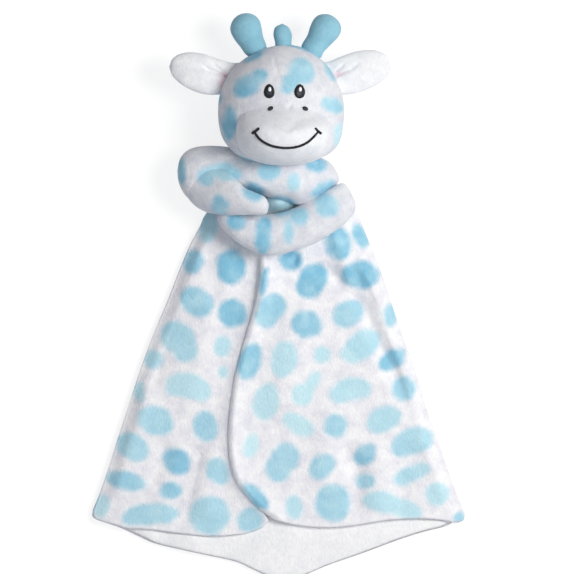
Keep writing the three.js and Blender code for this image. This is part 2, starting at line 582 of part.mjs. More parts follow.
for (const side of ['left', 'right']) {
  for (const [name, place, columns, rows] of [['yoke', yokePlace(side), 5, 8], ['flap', flapPlace(side), 8, 8]]) {
    addPiece(`${side}_${name}_lining`, clothSheet(place, columns, rows, 0, CLOTH), liningPlush);
    addPiece(`${side}_${name}_cloth`, clothSheet(place, columns, rows, CLOTH + GAP, 2 * CLOTH + GAP), spottedPlush);
  }
}

export default pieces;
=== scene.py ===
# %% [markdown]
# # A comfort blanket with a giraffe's head
# The toy is a soft stuffed head on a small blanket. Two stuffed arms cross under the chin, and the blanket hangs from
# them as two front panels over one longer back panel. It lies on its back, and the picture looks straight down on it.
# The CAD model gives every piece its place and its joints. This lesson gives the pieces their plump, sewn look.

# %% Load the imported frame
import json
import math

import bpy
import numpy as np
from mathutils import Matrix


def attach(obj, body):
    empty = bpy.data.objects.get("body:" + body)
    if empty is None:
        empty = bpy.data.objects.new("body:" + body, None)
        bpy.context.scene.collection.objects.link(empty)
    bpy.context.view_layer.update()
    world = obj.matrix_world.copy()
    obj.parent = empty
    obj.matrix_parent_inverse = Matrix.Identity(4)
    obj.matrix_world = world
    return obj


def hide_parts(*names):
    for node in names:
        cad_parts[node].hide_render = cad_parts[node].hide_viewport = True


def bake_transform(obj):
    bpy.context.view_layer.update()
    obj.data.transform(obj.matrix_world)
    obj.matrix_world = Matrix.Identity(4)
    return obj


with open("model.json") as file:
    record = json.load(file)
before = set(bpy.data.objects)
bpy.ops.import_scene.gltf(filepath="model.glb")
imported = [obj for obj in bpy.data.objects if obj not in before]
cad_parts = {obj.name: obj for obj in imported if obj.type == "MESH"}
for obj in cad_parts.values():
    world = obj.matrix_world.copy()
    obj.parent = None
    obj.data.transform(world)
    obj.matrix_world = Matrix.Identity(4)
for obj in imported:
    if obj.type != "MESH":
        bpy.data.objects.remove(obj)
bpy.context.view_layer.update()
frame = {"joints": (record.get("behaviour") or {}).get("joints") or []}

# %% [markdown]
# ## Units and small helpers
# All shapes are worked out in millimetres, as a sewing pattern is, and become metres when they go into a mesh. A place
# that was read off the picture is given in its pixels, which are 0.75 mm wide at the height of the blanket.

# %% Helpers for places and colours
MM = 0.001
PIXEL = 0.75
MIDDLE_PIXEL = (280.0, 296.0)
PICTURE_SIZE = 574
CAMERA_HEIGHT = 8000.0
SCALE_HEIGHT = 20.0
scene = bpy.context.scene


def picked(points, height=SCALE_HEIGHT):
    """Picture pixels to millimetres: x runs right from the toy's middle line, and y runs up, so it changes sign.
    What lies height mm up is nearer to the camera and looks larger, so it is drawn in towards the picture's centre."""
    p = np.asarray(points, float)
    centre = np.full(2, PICTURE_SIZE / 2)
    p = centre + (p - centre) * (CAMERA_HEIGHT - height) / (CAMERA_HEIGHT - SCALE_HEIGHT)
    return np.stack([(p[..., 0] - MIDDLE_PIXEL[0]) * PIXEL, (MIDDLE_PIXEL[1] - p[..., 1]) * PIXEL], -1)


def linear(hex_colour):
    """sRGB hex to linear RGBA: c / 12.92 up to 0.04045, and ((c + 0.055) / 1.055) to the power 2.4 above it."""
    c = np.array([int(hex_colour[i:i + 2], 16) for i in (0, 2, 4)]) / 255
    return (*np.where(c <= 0.04045, c / 12.92, ((c + 0.055) / 1.055) ** 2.4), 1.0)


def smooth(t):
    """3t^2 - 2t^3 between 0 and 1, flat outside: an even ease from one level to another."""
    t = np.clip(t, 0, 1)
    return t * t * (3 - 2 * t)


def curve(points, count):
    """A smooth line through all the points: each stretch is the cubic whose slope at a point is half the step between
    its two neighbours (Catmull-Rom). Returns count rows, evenly spread over the stretches."""
    p = np.asarray(points, float)
    padded = np.concatenate([[2 * p[0] - p[1]], p, [2 * p[-1] - p[-2]]])
    t = np.linspace(0, len(p) - 1, count)
    i = np.minimum(t.astype(int), len(p) - 2)
    s = (t - i)[:, None]
    a, b, c, d = padded[i], padded[i + 1], padded[i + 2], padded[i + 3]
    return b + 0.5 * s * (c - a + s * (2 * a - 5 * b + 4 * c - d + s * (3 * (b - c) + d - a)))


# %% Helpers for meshes
def volume_sign(points, faces):
    """The sign of a closed mesh's volume: the sum over its corner triangles of a . (b x c)."""
    total = 0.0
    for f in faces:
        for k in range(1, f.shape[1] - 1):
            a, b, c = points[f[:, 0]], points[f[:, k]], points[f[:, k + 1]]
            total += np.einsum("ij,ij->", a, np.cross(b, c))
    return np.sign(total)


def make_piece(name, points, faces, material):
    """A smooth closed mesh from points in millimetres and arrays of faces, turned so that it faces outwards."""
    if volume_sign(points, faces) < 0:
        faces = [f[:, ::-1] for f in faces]
    sizes = np.concatenate([np.full(len(f), f.shape[1]) for f in faces])
    corners = np.concatenate([f.ravel() for f in faces])
    mesh = bpy.data.meshes.new(name)
    mesh.vertices.add(len(points))
    mesh.loops.add(len(corners))
    mesh.polygons.add(len(sizes))
    mesh.vertices.foreach_set("co", (points * MM).astype(np.float32).ravel())
    mesh.loops.foreach_set("vertex_index", corners.astype(np.int32))
    mesh.polygons.foreach_set("loop_start", np.concatenate([[0], np.cumsum(sizes)[:-1]]).astype(np.int32))
    mesh.polygons.foreach_set("use_smooth", np.ones(len(sizes), bool))
    mesh.update(calc_edges=True)
    obj = bpy.data.objects.new(name, mesh)
    scene.collection.objects.link(obj)
    mesh.materials.append(material)
    return obj


def points_of(obj):
    """The mesh's points in millimetres, as rows."""
    co = np.empty(len(obj.data.vertices) * 3, np.float32)
    obj.data.vertices.foreach_get("co", co)
    return co.reshape(-1, 3).astype(float) / MM


def set_points(obj, points):
    obj.data.vertices.foreach_set("co", (points * MM).astype(np.float32).ravel())
    obj.data.update()


def joint_of(name):
    return next(joint for joint in frame["joints"] if joint["name"] == name)


def set_value(obj, name, values):
    """Stores one number per point, which a material can read by that name."""
    layer = obj.data.attributes.get(name) or obj.data.attributes.new(name, "FLOAT", "POINT")
    layer.data.foreach_set("value", np.asarray(values, np.float32))


def closed_rings(rings, sides):
    """Faces of a form made of rings from one end point to the other: quads between rings, triangles at both ends."""
    ring, side = np.meshgrid(np.arange(rings - 1), np.arange(sides), indexing="ij")

    def at(r, s):
        return 1 + r * sides + s % sides

    quads = np.stack([at(ring, side), at(ring, side + 1), at(ring + 1, side + 1), at(ring + 1, side)], -1)
    s = np.arange(sides)
    first = np.stack([np.zeros(sides, int), at(0, s + 1), at(0, s)], -1)
    last = np.stack([np.full(sides, 1 + rings * sides), at(rings - 1, s), at(rings - 1, s + 1)], -1)
    return [quads.reshape(-1, 4), first, last]


def stuffed_form(name, ends, left, right, depths, heights, material, rings=64, sides=72, square=1.0, halves=(1, 1)):
    """A stuffed form between two outlines. Each pair of points, one on each outline, carries an upright oval ring:
    along the line between them it goes by cos(turn), and up and down by depth * sin(turn). square below 1 makes the
    oval fuller, and halves scales the part above and the part below the level of the outlines. Two ends close it."""
    outlines = np.concatenate([np.asarray(left, float), np.asarray(right, float)], 1)
    sizes = np.stack([depths, heights], 1)
    stations = np.concatenate([outlines, sizes], 1)
    first = [*ends[0], *ends[0], 0, heights[0]]
    last = [*ends[1], *ends[1], 0, heights[-1]]
    line = curve(np.concatenate([[first], stations, [last]]), rings + 2)
    turn = np.arange(sides) / sides * 2 * np.pi
    across, up = (np.sign(f(turn)) * np.abs(f(turn)) ** square for f in (np.cos, np.sin))
    up = up * np.where(up > 0, halves[0], halves[1])
    middle, half = (line[:, 2:4] + line[:, 0:2]) / 2, (line[:, 2:4] - line[:, 0:2]) / 2
    flat = middle[:, None, :] + half[:, None, :] * across[None, :, None]
    height = line[:, 5, None] + np.maximum(line[:, 4, None], 0) * up[None, :]
    grid = np.concatenate([flat, height[..., None]], -1)[1:-1]
    points = np.concatenate([[[*ends[0], heights[0]]], grid.reshape(-1, 3), [[*ends[1], heights[-1]]]])
    return make_piece(name, points, closed_rings(rings, sides), material)


# %% [markdown]
# ## Filling a form
# A stuffed piece is sewn flat and then filled, so the filling pushes the cloth out until the cloth holds it. Cloth
# simulation does the same: the form is remeshed evenly, its inside gets a pressure, gravity is off, and after twenty
# steps the cloth has swollen. The step is capped, so that the form keeps its size, and one subdivision rounds it.

# %% Fill a form by cloth simulation
PRESSURE = 4.0
STEPS = 20
CLOTH_MASS = 0.15
LOWEST = 0.35


def baked(obj):
    """Replaces the object's mesh with what its modifiers make of it, and takes them off."""
    graph = bpy.context.evaluated_depsgraph_get()
    made = bpy.data.meshes.new_from_object(obj.evaluated_get(graph))
    obj.modifiers.clear()
    old, obj.data = obj.data, made
    bpy.data.meshes.remove(old)
    obj.data.polygons.foreach_set("use_smooth", np.ones(len(obj.data.polygons), bool))


def fill(obj, voxel, most):
    """Remeshes at voxel mm, swells the form under pressure, and moves each point by no more than most mm. Afterwards
    nothing lies lower than LOWEST, so the form is flat where it rests on the floor."""
    remesh = obj.modifiers.new("even", "REMESH")
    remesh.mode, remesh.voxel_size = "VOXEL", voxel * MM
    baked(obj)
    rest = points_of(obj)
    cloth = obj.modifiers.new("filling", "CLOTH")
    cloth.settings.use_pressure = True
    cloth.settings.uniform_pressure_force = PRESSURE
    cloth.settings.effector_weights.gravity = 0
    cloth.settings.mass = CLOTH_MASS
    for step in range(1, STEPS + 1):
        scene.frame_set(step)
    graph = bpy.context.evaluated_depsgraph_get()
    swollen = np.empty(len(rest) * 3, np.float32)
    obj.evaluated_get(graph).data.vertices.foreach_get("co", swollen)
    moved = swollen.reshape(-1, 3) / MM - rest
    length = np.linalg.norm(moved, axis=1, keepdims=True)
    obj.modifiers.clear()
    scene.frame_set(1)
    set_points(obj, rest + moved * np.minimum(1, most / np.maximum(length, 1e-6)))
    print(obj.name, "swelled by up to", round(float(length.max()), 2), "mm, capped at", most)
    obj.modifiers.new("round", "SUBSURF").levels = 1
    obj.modifiers["round"].render_levels = 1
    baked(obj)
    points = points_of(obj)
    points[:, 2] = np.maximum(points[:, 2], LOWEST)
    set_points(obj, points)


def to_line(points, a, b):
    """Each point's distance, seen from above, from the stretch a to b, and how far along it the nearest place is."""
    a, b = np.asarray(a, float), np.asarray(b, float)
    along = np.clip(((points[:, :2] - a) @ (b - a)) / ((b - a) @ (b - a)), 0, 1)
    return np.linalg.norm(points[:, :2] - (a + along[:, None] * (b - a)), axis=1), along


PRESS_EASE = 6.0


def press(obj, line, width, depth, above=0.0, fade=0.25):
    """Sinks a soft groove, or lifts a ridge where depth is negative, by depth * exp(-(distance / width)^2). It is eased
    in and out over the fade share at the line's ends. Nothing moves under above, and all of it PRESS_EASE mm higher."""
    points = points_of(obj)
    line = np.asarray(line, float)
    push = np.zeros(len(points))
    steps = len(line) - 1
    for k in range(steps):
        distance, along = to_line(points, line[k], line[k + 1])
        share = (k + along) / steps
        ease = smooth(share / fade) * smooth((1 - share) / fade) if fade else 1.0
        push = np.maximum(push, np.exp(-(distance / width) ** 2) * ease)
    points[:, 2] -= depth * push * smooth((points[:, 2] - above) / PRESS_EASE)
    set_points(obj, points)


# %% [markdown]
# ## Camera, light and floor
# The picture was taken from straight in front of the toy, so the camera looks down on it with a long lens. A big soft
# lamp stands up and to the right, and the pale room fills the shadows. The floor is white to the camera.

# %% Camera
SENSOR = 36.0
picture_width = PICTURE_SIZE * PIXEL
centre = picked([PICTURE_SIZE / 2, PICTURE_SIZE / 2])
camera_data = bpy.data.cameras.new("camera")
camera_data.sensor_width = SENSOR
camera_data.lens = SENSOR * (CAMERA_HEIGHT - SCALE_HEIGHT) / picture_width
camera_data.clip_end = 40
camera = bpy.data.objects.new("camera", camera_data)
camera.location = (centre[0] * MM, centre[1] * MM, CAMERA_HEIGHT * MM)
scene.collection.objects.link(camera)
scene.camera = camera
scene.view_settings.view_transform = "Standard"
print("lens", round(camera_data.lens), "mm for a picture", picture_width, "mm wide")


# %% Helper for materials
def add_node(material, kind, settings=(), links=(), **values):
    """Adds a node: settings are its own fields, values its input numbers by name or place, links (input, socket)."""
    node = material.node_tree.nodes.new(kind)
    for field, value in dict(settings).items():
        setattr(node, field, value)
    for field, value in values.items():
        key = int(field[1:]) if field[0] == "i" and field[1:].isdigit() else field.replace("_", " ")
        node.inputs[key].default_value = value
    for field, socket in links:
        material.node_tree.links.new(node.inputs[field], socket)
    return node


def new_material(name):
    material = bpy.data.materials.new(name)
    material.use_nodes = True
    shader = material.node_tree.nodes["Principled BSDF"]
    return material, shader


# %% Lamps, room and floor
def lamp(name, place, size, power, colour):
    """An area lamp in metres that looks at the middle of the toy."""
    data = bpy.data.lights.new(name, "AREA")
    data.shape, data.size, data.energy, data.color = "DISK", size, power, linear(colour)[:3]
    obj = bpy.data.objects.new(name, data)
    obj.location = place
    from_middle = np.array(place) - np.array([0.0, 0.0, 0.03])
    obj.rotation_euler = (
        math.atan2(math.hypot(from_middle[0], from_middle[1]), from_middle[2]), 0,
        math.atan2(from_middle[1], from_middle[0]) + math.pi / 2)
    scene.collection.objects.link(obj)


for row in (("key", (0.72, 0.22, 1.15), 0.6, 13.0, "FFFDF9"), ("fill", (0.0, -0.8, 1.1), 1.2, 3.0, "F4F6FF")):
    lamp(*row)


def shows_background(owner):
    """1 for the rays that show what lies behind: the camera's, and those that gloss and glass pass on."""
    path = add_node(owner, "ShaderNodeLightPath")
    seen = path.outputs["Is Camera Ray"]
    for other in ("Is Glossy Ray", "Is Transmission Ray"):
        seen = add_node(owner, "ShaderNodeMath", {"operation": "MAXIMUM"},
                        [(0, seen), (1, path.outputs[other])]).outputs[0]
    return seen


def show(owner, output, usual, shown):
    """Makes the surface usual for lighting and shown for the rays that show the background."""
    choice = add_node(owner, "ShaderNodeMixShader", links=[
        (0, shows_background(owner)), (1, usual.outputs[0]), (2, shown.outputs[0])])
    owner.node_tree.links.new(owner.node_tree.nodes[output].inputs["Surface"], choice.outputs[0])


world = bpy.data.worlds.new("room")
scene.world = world
world.use_nodes = True
room = world.node_tree.nodes["Background"]
room.inputs["Color"].default_value = linear("F3F4FB")
room.inputs["Strength"].default_value = 0.34
show(world, "World Output", room, add_node(world, "ShaderNodeBackground", Color=(1, 1, 1, 1), Strength=1.0))

FLOOR_REACH, FLOOR_DROP = 6, 0.0003
floor_mesh = bpy.data.meshes.new("floor")
floor_mesh.from_pydata([(x * FLOOR_REACH, y * FLOOR_REACH, -FLOOR_DROP)
                        for x, y in ((-1, -1), (1, -1), (1, 1), (-1, 1))], [], [(0, 1, 2, 3)])
floor = bpy.data.objects.new("floor", floor_mesh)
scene.collection.objects.link(floor)
paper = bpy.data.materials.new("white_paper_floor")
paper.use_nodes = True
paper.node_tree.nodes.remove(paper.node_tree.nodes["Principled BSDF"])
matt = add_node(paper, "ShaderNodeBsdfDiffuse", Color=linear("ECECEE"))
half_matt = add_node(paper, "ShaderNodeBsdfDiffuse", Color=linear("909090"))
glow = add_node(paper, "ShaderNodeEmission", Strength=0.8)
bright = add_node(paper, "ShaderNodeAddShader", links=[(0, half_matt.outputs[0]), (1, glow.outputs[0])])
show(paper, "Material Output", matt, bright)
floor_mesh.materials.append(paper)

# %% [markdown]
# ## The plush
# Baby plush is a knitted polyester whose loops are sheared to a soft pile about 1.5 mm high. The pile stands every way,
# so the cloth is matt, glows softly where it turns away from the eye, and looks slightly brushed. The blue patches are
# printed before the pile is raised, so their rims are soft. Each piece stores its distance to the nearest patch's rim,
# and the material turns that distance into colour, with a little noise so that no rim is a clean curve.

# %% Plush materials
PILE, PILE_DEPTH = 1.3, 0.9
DIMPLES = 9.0
RIM_WOBBLE, WOBBLE_SIZE = 1.2, 11
RIM_FUZZ = 0.4
RIM_SOFT = 3.0


def per_metre(size):
    """The scale of a pattern whose features are size mm wide."""
    return 1 / (size * MM)


def noise(material, place, size, detail, roughness):
    """Noise whose features are size mm wide."""
    return add_node(material, "ShaderNodeTexNoise", links=[("Vector", place)],
                    Scale=per_metre(size), Detail=detail, Roughness=roughness).outputs[0]


def spread(material, socket, low, high, to_low=0.0, to_high=1.0, **settings):
    """A socket's numbers from low to high, spread from to_low to to_high."""
    return add_node(material, "ShaderNodeMapRange", settings, [("Value", socket)],
                    From_Min=low, From_Max=high, To_Min=to_low, To_Max=to_high).outputs[0]


def added(material, a, b):
    """The sum of two sockets' numbers."""
    return add_node(material, "ShaderNodeMath", {"operation": "ADD"}, [(0, a), (1, b)]).outputs[0]


def pile(material, shader, place, strength):
    """Bump from two noises: tufts of pile, drawn out along the toy as if brushed, and soft dimples."""
    brushed = add_node(material, "ShaderNodeMapping", links=[("Vector", place)], Scale=(1, 0.45, 1)).outputs[0]
    tufts = noise(material, brushed, PILE, 3.0, 0.65)
    dimples = noise(material, place, DIMPLES, 2.0, 0.5)
    low = add_node(material, "ShaderNodeMath", {"operation": "MULTIPLY"}, [(0, dimples)], i1=1.6).outputs[0]
    bump = add_node(material, "ShaderNodeBump", links=[("Height", added(material, tufts, low))],
                    Strength=strength, Distance=PILE_DEPTH * MM)
    material.node_tree.links.new(shader.inputs["Normal"], bump.outputs[0])
    return tufts, dimples


def mixed(material, factor, a, b, blend="MIX"):
    """A colour between a and b; each is a linear colour or a socket, and the factor is a number or a socket."""
    node = add_node(material, "ShaderNodeMix", {"data_type": "RGBA", "blend_type": blend})
    for key, value in ((0, factor), (6, a), (7, b)):
        if isinstance(value, bpy.types.NodeSocket):
            material.node_tree.links.new(node.inputs[key], value)
        else:
            node.inputs[key].default_value = value
    return node.outputs[2]


def plush(name, ground, shade, patch=None, pale=None, strength=0.55):
    """Short plush: ground is its colour and shade that of its hollows; patch and pale colour its printed spots,
    and on the ears the painted pink reflection.
    """
    material, shader = new_material(name)
    place = add_node(material, "ShaderNodeTexCoord").outputs["Object"]
    tufts, dimples = pile(material, shader, place, strength)
    colour = mixed(material, spread(material, dimples, 0.35, 0.7), linear(ground), linear(shade))
    if patch:
        rim = add_node(material, "ShaderNodeAttribute", {"attribute_name": "patch"}).outputs["Fac"]
        tone = add_node(material, "ShaderNodeAttribute", {"attribute_name": "tone"}).outputs["Fac"]
        wobble = noise(material, place, WOBBLE_SIZE, 1.5, 0.5)
        moved = added(material, rim, spread(material, wobble, 0.2, 0.8, -RIM_WOBBLE, RIM_WOBBLE))
        frayed = added(material, moved, spread(material, tufts, 0.2, 0.8, -RIM_FUZZ, RIM_FUZZ))
        inside = spread(material, frayed, RIM_SOFT, -RIM_SOFT, interpolation_type="SMOOTHSTEP")
        blue = mixed(material, tone, linear(patch), linear(pale))
        streaked = mixed(material, spread(material, wobble, 0.4, 0.75, 0.0, 0.4), blue, linear(pale))
        colour = mixed(material, inside, colour, streaked)
    grain = spread(material, tufts, 0.3, 0.7, 0.93, 1.03)
    grey = add_node(material, "ShaderNodeCombineColor", links=[(channel, grain) for channel in range(3)])
    colour = mixed(material, 1.0, colour, grey.outputs[0], "MULTIPLY")
    material.node_tree.links.new(shader.inputs["Base Color"], colour)
    shader.inputs["Roughness"].default_value = 0.92
    shader.inputs["IOR"].default_value = 1.5
    shader.inputs["Specular IOR Level"].default_value = 0.15
    shader.inputs["Sheen Weight"].default_value = 0.22
    shader.inputs["Sheen Roughness"].default_value = 0.45
    shader.inputs["Sheen Tint"].default_value = linear("F4F6FF")
    return material


SPOT_BLUE, SPOT_PALE = "86C3DD", "D2F2F8"
spotted = plush("spotted_blanket_plush", "F9F9FA", "E9E9F0", SPOT_BLUE, SPOT_PALE)
# The stuffed pieces wear the blanket's own spotted cloth; their darker ground and shade colours are painted shade.
spotted_stuffed_painted_shade = plush("spotted_stuffed_plush", "E9EBEE", "D9DBE3", SPOT_BLUE, SPOT_PALE)
# The ears' pink patch colours are a painted warm reflection in the crease at each ear's root.
white_plush = plush("white_ear_plush", "F6F8F9", "EAEBEF", "E9C6D2", "F1DCE3", strength=0.4)
# The muzzle is white plush like the ears' front; its slightly greyer ground is painted shade.
muzzle_plush = plush("white_muzzle_plush", "F1F3F5", "E5E8ED", strength=0.4)
lining_plush = plush("white_lining_plush", "FBFBFB", "F3F4F6", strength=0.4)
blue_plush = plush("light_blue_plush", "95C8D9", "89BDD0", strength=0.35)

# %% [markdown]
# ## Printed patches
# The print is a giraffe's coat: rounded patches of many sizes with white between them. Each patch is an oval, some with
# one side cut straight. The signed distance to an oval with half sizes a and b is close to k (k - 1) / m, where k is
# the length of (x / a, y / b) and m the length of (x / a^2, y / b^2). The nearest patch wins.


# %% Distance to the nearest patch
FAR = 50.0
BALL_REACH = 9
CROWDED = 1.25
MOST_TRIED = 4000


def oval_distance(offsets, radii):
    """k (k - 1) / m for places given from the oval's middle along its own axes."""
    inner = offsets / radii
    k = np.linalg.norm(inner, axis=1) + 1e-9
    m = np.linalg.norm(inner / radii, axis=1) + 1e-9
    return k * (k - 1) / m


def nearest(best, tone, distance, paleness):
    """The smaller of two distances at each point, with the tone of the patch that it belongs to."""
    return np.where(distance < best, distance, best), np.where(distance < best, paleness, tone)


def patches_on(obj, rows):
    """Stores each point's distance in mm to the nearest patch's rim, negative inside, and that patch's paleness.
    A row is (x, y, half width, half height in picture pixels, tilt in degrees, paleness), then a height in mm or None,
    then the share that is cut off straight. With a height, the patch also ends a little under and over it."""
    points = points_of(obj)
    best, tone = np.full(len(points), FAR), np.zeros(len(points))
    for x, y, wide, high, tilt, paleness, *more in rows:
        height, straight = (*more, None, None)[:2]
        a, b = wide * PIXEL, high * PIXEL
        turn = math.radians(tilt)
        d = points[:, :2] - picked([x, y])
        u = d[:, 0] * math.cos(turn) + d[:, 1] * math.sin(turn)
        v = -d[:, 0] * math.sin(turn) + d[:, 1] * math.cos(turn)
        w, c = (u * 0, 1.0) if height is None else (points[:, 2] - height, max(a, b) + BALL_REACH)
        distance = oval_distance(np.stack([u, v, w], -1), np.array([a, b, c]))
        if straight:
            distance = np.maximum(distance, -v - (1 - straight) * b)
        best, tone = nearest(best, tone, distance, paleness)
    set_value(obj, "patch", best)
    set_value(obj, "tone", tone)


def unseen_patches(obj, seed, spacing, size, keep):
    """Adds patches where the picture shows nothing: seeded points of the surface, at least spacing apart, each a ball
    of about that size. keep(points) says which points may hold one. Patches that are there already stay clear."""
    points = points_of(obj)
    if "patch" not in obj.data.attributes:
        patches_on(obj, [])
    best, tone = np.empty((2, len(points)), np.float32)
    obj.data.attributes["patch"].data.foreach_get("value", best)
    obj.data.attributes["tone"].data.foreach_get("value", tone)
    rng = np.random.default_rng(seed)
    allowed = np.flatnonzero(keep(points) & (best > size * CROWDED))
    chosen = []
    for index in rng.permutation(allowed)[:MOST_TRIED]:
        place = points[index]
        if all(np.linalg.norm(place - other) > spacing for other in chosen):
            chosen.append(place)
    for place in chosen:
        distance = oval_distance(points - place, size * rng.uniform(0.62, 1.15, 3))
        best, tone = nearest(best, tone, distance, rng.uniform(0, 0.6))
    set_value(obj, "patch", best)
    set_value(obj, "tone", tone)
    print(obj.name, "has", len(chosen), "patches that the picture doesn't show")


# %% [markdown]
# ## The head
# The head is a stuffed ball, wider at the cheeks than at the crown and flat where it rests. It is made from its outline
# in the picture: the left and right halves of the outline carry upright oval rings from the chin to the crown.

# %% Head
HEAD_LEFT = [(-11, 99.4), (-23, 101.4), (-32, 105.2), (-39, 112), (-43.6, 119.5), (-46, 129.5), (-46.4, 140),
             (-45.2, 150.5), (-41.6, 160.5), (-34.6, 170.6), (-24.6, 178.9), (-10.5, 185.6)]
HEAD_RIGHT = [(13, 99.4), (25, 101.6), (35, 105.4), (42.6, 111.6), (46, 119.5), (47.6, 129.5), (48, 141),
              (46.4, 151.5), (42.4, 162), (36, 172), (28, 179.2), (17.5, 185.8)]
HEAD_DEPTHS = [13, 23, 30, 34.5, 37.5, 39, 39.6, 39.2, 37.4, 33.2, 26.5, 16.5]
HEAD_LEVEL = 39.5
head = stuffed_form("head_plush", [(0, 98.6), (5, 188.6)], HEAD_LEFT, HEAD_RIGHT, HEAD_DEPTHS,
                    [HEAD_LEVEL] * len(HEAD_DEPTHS), spotted_stuffed_painted_shade, rings=56, sides=80, square=0.95)
fill(head, 2.6, 0.9)

# %% [markdown]
# A seam runs down the forehead to a small dart at the bridge of the nose, where the maker pinched the cloth.

# %% Forehead seam and the dart
press(head, picked([(272, 52), (277, 72), (283, 88), (288, 101)]), 1.3, 0.65, above=50, fade=0.2)

# Each row's paleness is partly the print's own tone and partly painted light: lit patches are paler, shaded ones
# darker.
HEAD_PATCHES = [
    (247, 86.5, 15.5, 10.5, 24, 0.0, 72), (259, 78, 9, 8, 0, 0.1, 76), (302, 71, 13.5, 15, 8, 0.3, 76),
    (291, 84, 8.5, 12, -38, 0.3, 79), (253.6, 56.5, 11.5, 5.5, 20, 0.0, 52), (230.5, 123.5, 8.5, 18, -4, 0.0, 55),
    (219.5, 99, 3.5, 6.5, 0, 0.0, 40), (332.6, 106, 14.5, 7.5, -17, 0.3, 60), (338.5, 136, 6, 12, -6, 0.8, 50),
    (330.5, 72, 5.5, 11, 25, 0.3, 50), (222, 142, 5, 5, 0, 0.1, 38),
]
patches_on(head, HEAD_PATCHES)
unseen_patches(head, 7, 22, 10.5, lambda p: (p[:, 2] < 46) & (p[:, 2] > 2))
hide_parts("head_cover", "head_wadding")
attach(head, "head")

# %% [markdown]
# ## The muzzle
# The muzzle is white plush, sewn over the lower face along a closed seam. Inside that seam it swells like a cushion:
# gently from the bridge of the nose, steeply at the sides and under the chin. It is a grid of rings round its middle.


# %% Height of a surface under given places
def front_of(obj, least=0.25):
    """The points whose surface faces up: those whose normal's upright part is over least."""
    normals = np.empty(len(obj.data.vertices) * 3, np.float32)
    obj.data.vertices.foreach_get("normal", normals)
    return points_of(obj)[normals.reshape(-1, 3)[:, 2] > least]


def height_on(top, places, reach=3.0):
    """The height of a surface at places seen from above: the mean of its front's nearby points, each with the weight
    exp(-(distance / reach)^2), so that it follows the surface without its finest bumps."""
    squares = ((places[:, None, :] - top[None, :, :2]) ** 2).sum(-1)
    weight = np.exp(-(squares - squares.min(1, keepdims=True)) / reach ** 2)
    return (weight * top[:, 2]).sum(1) / weight.sum(1)


# %% Muzzle
MUZZLE_SEAM = [(289.5, 102), (276, 102.8), (262, 105.2), (248, 109.6), (239.5, 117), (236, 128), (236.6, 141),
               (241, 151.5), (251, 159), (265, 163.4), (280, 165), (295, 164.6), (310, 162), (322.5, 156.5),
               (331, 148), (334.5, 137), (332.6, 125), (326, 116), (315, 108.8), (302, 104)]
MUZZLE_PEAK = (285.5, 134)
MUZZLE_TOP = 98.5
SEAM_SINK, BRIDGE_LIFT = 0.9, 0.8
SEAM_LOWEST, SEAM_HIGHEST = 53.5, 90
RINGS, SIDES = 46, 120
seam = curve([*picked(MUZZLE_SEAM, 74), picked(MUZZLE_SEAM, 74)[0]], SIDES + 1)[:-1]
peak = picked(MUZZLE_PEAK, 100)
direction = (seam - peak) / np.linalg.norm(seam - peak, axis=1, keepdims=True)
towards_bridge = smooth((direction[:, 1] - 0.1) / 0.8)
seam_height = height_on(front_of(head, 0.1), seam, 2.5) - SEAM_SINK + BRIDGE_LIFT * towards_bridge
seam_height = np.clip(seam_height, SEAM_LOWEST, SEAM_HIGHEST)
# From the seam to the peak the height goes up by (1 - share^p)^q, with p and q eased from the sides to the bridge.
share = np.sin(np.linspace(0, np.pi / 2, RINGS + 1))[1:, None]
steepness = 0.5 + 1.1 * towards_bridge[None, :]
swell = (1 - share ** (2.4 - 0.8 * towards_bridge[None, :])) ** steepness
front = np.concatenate([
    peak + share[..., None] * (seam - peak),
    (seam_height + (MUZZLE_TOP - seam_height) * swell)[..., None]], -1)
back_share = np.linspace(0.9, 0.15, 6)[:, None]
back = np.concatenate([
    peak + back_share[..., None] * (seam - peak),
    np.broadcast_to(np.linspace(0.96, 0.9, 6)[:, None] * seam_height, (6, SIDES))[..., None]], -1)
rings = np.concatenate([front, back])
points = np.concatenate([[[*peak, MUZZLE_TOP]], rings.reshape(-1, 3), [[*peak, 0.88 * seam_height.mean()]]])
muzzle = make_piece("muzzle_plush", points, closed_rings(len(rings), SIDES), muzzle_plush)
fill(muzzle, 1.9, 0.6)
press(muzzle, picked([(288, 101), (289.6, 107)], 88), 1.6, 1.5, above=60, fade=0.0)
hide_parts("muzzle_cover", "muzzle_wadding")
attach(muzzle, "head")

# %% [markdown]
# ## The stitched face
# Eyes, nostrils and mouth are embroidery: close satin stitches of shiny thread that stand a little proud of the pile.
# Each is a thin lens or cord laid on the surface it is sewn to.


# %% Thread material
STITCH, STITCH_DEPTH = 0.45, 0.25
WAVE_UNIT = 20


def thread(name, colour, inner=None):
    """Satin stitches side by side: a wave gives the ridges. inner is the colour of a filled shape's middle."""
    material, shader = new_material(name)
    place = add_node(material, "ShaderNodeTexCoord").outputs["Object"]
    wave = add_node(material, "ShaderNodeTexWave", {"bands_direction": "X"}, [("Vector", place)],
                    Scale=per_metre(STITCH) / WAVE_UNIT, Distortion=1.2, Detail=1.0)
    bump = add_node(material, "ShaderNodeBump", links=[("Height", wave.outputs["Fac"])],
                    Strength=0.5, Distance=STITCH_DEPTH * MM)
    material.node_tree.links.new(shader.inputs["Normal"], bump.outputs[0])
    middle = add_node(material, "ShaderNodeAttribute", {"attribute_name": "middle"})
    tint = mixed(material, middle.outputs["Fac"], linear(colour), linear(inner or colour))
    material.node_tree.links.new(shader.inputs["Base Color"], tint)
    shader.inputs["Roughness"].default_value = 0.42
    shader.inputs["Specular IOR Level"].default_value = 0.18
    return material


black_thread = thread("black_satin_thread", "17181C", "3B434C")
white_thread = thread("white_satin_thread", "F6F8FA")


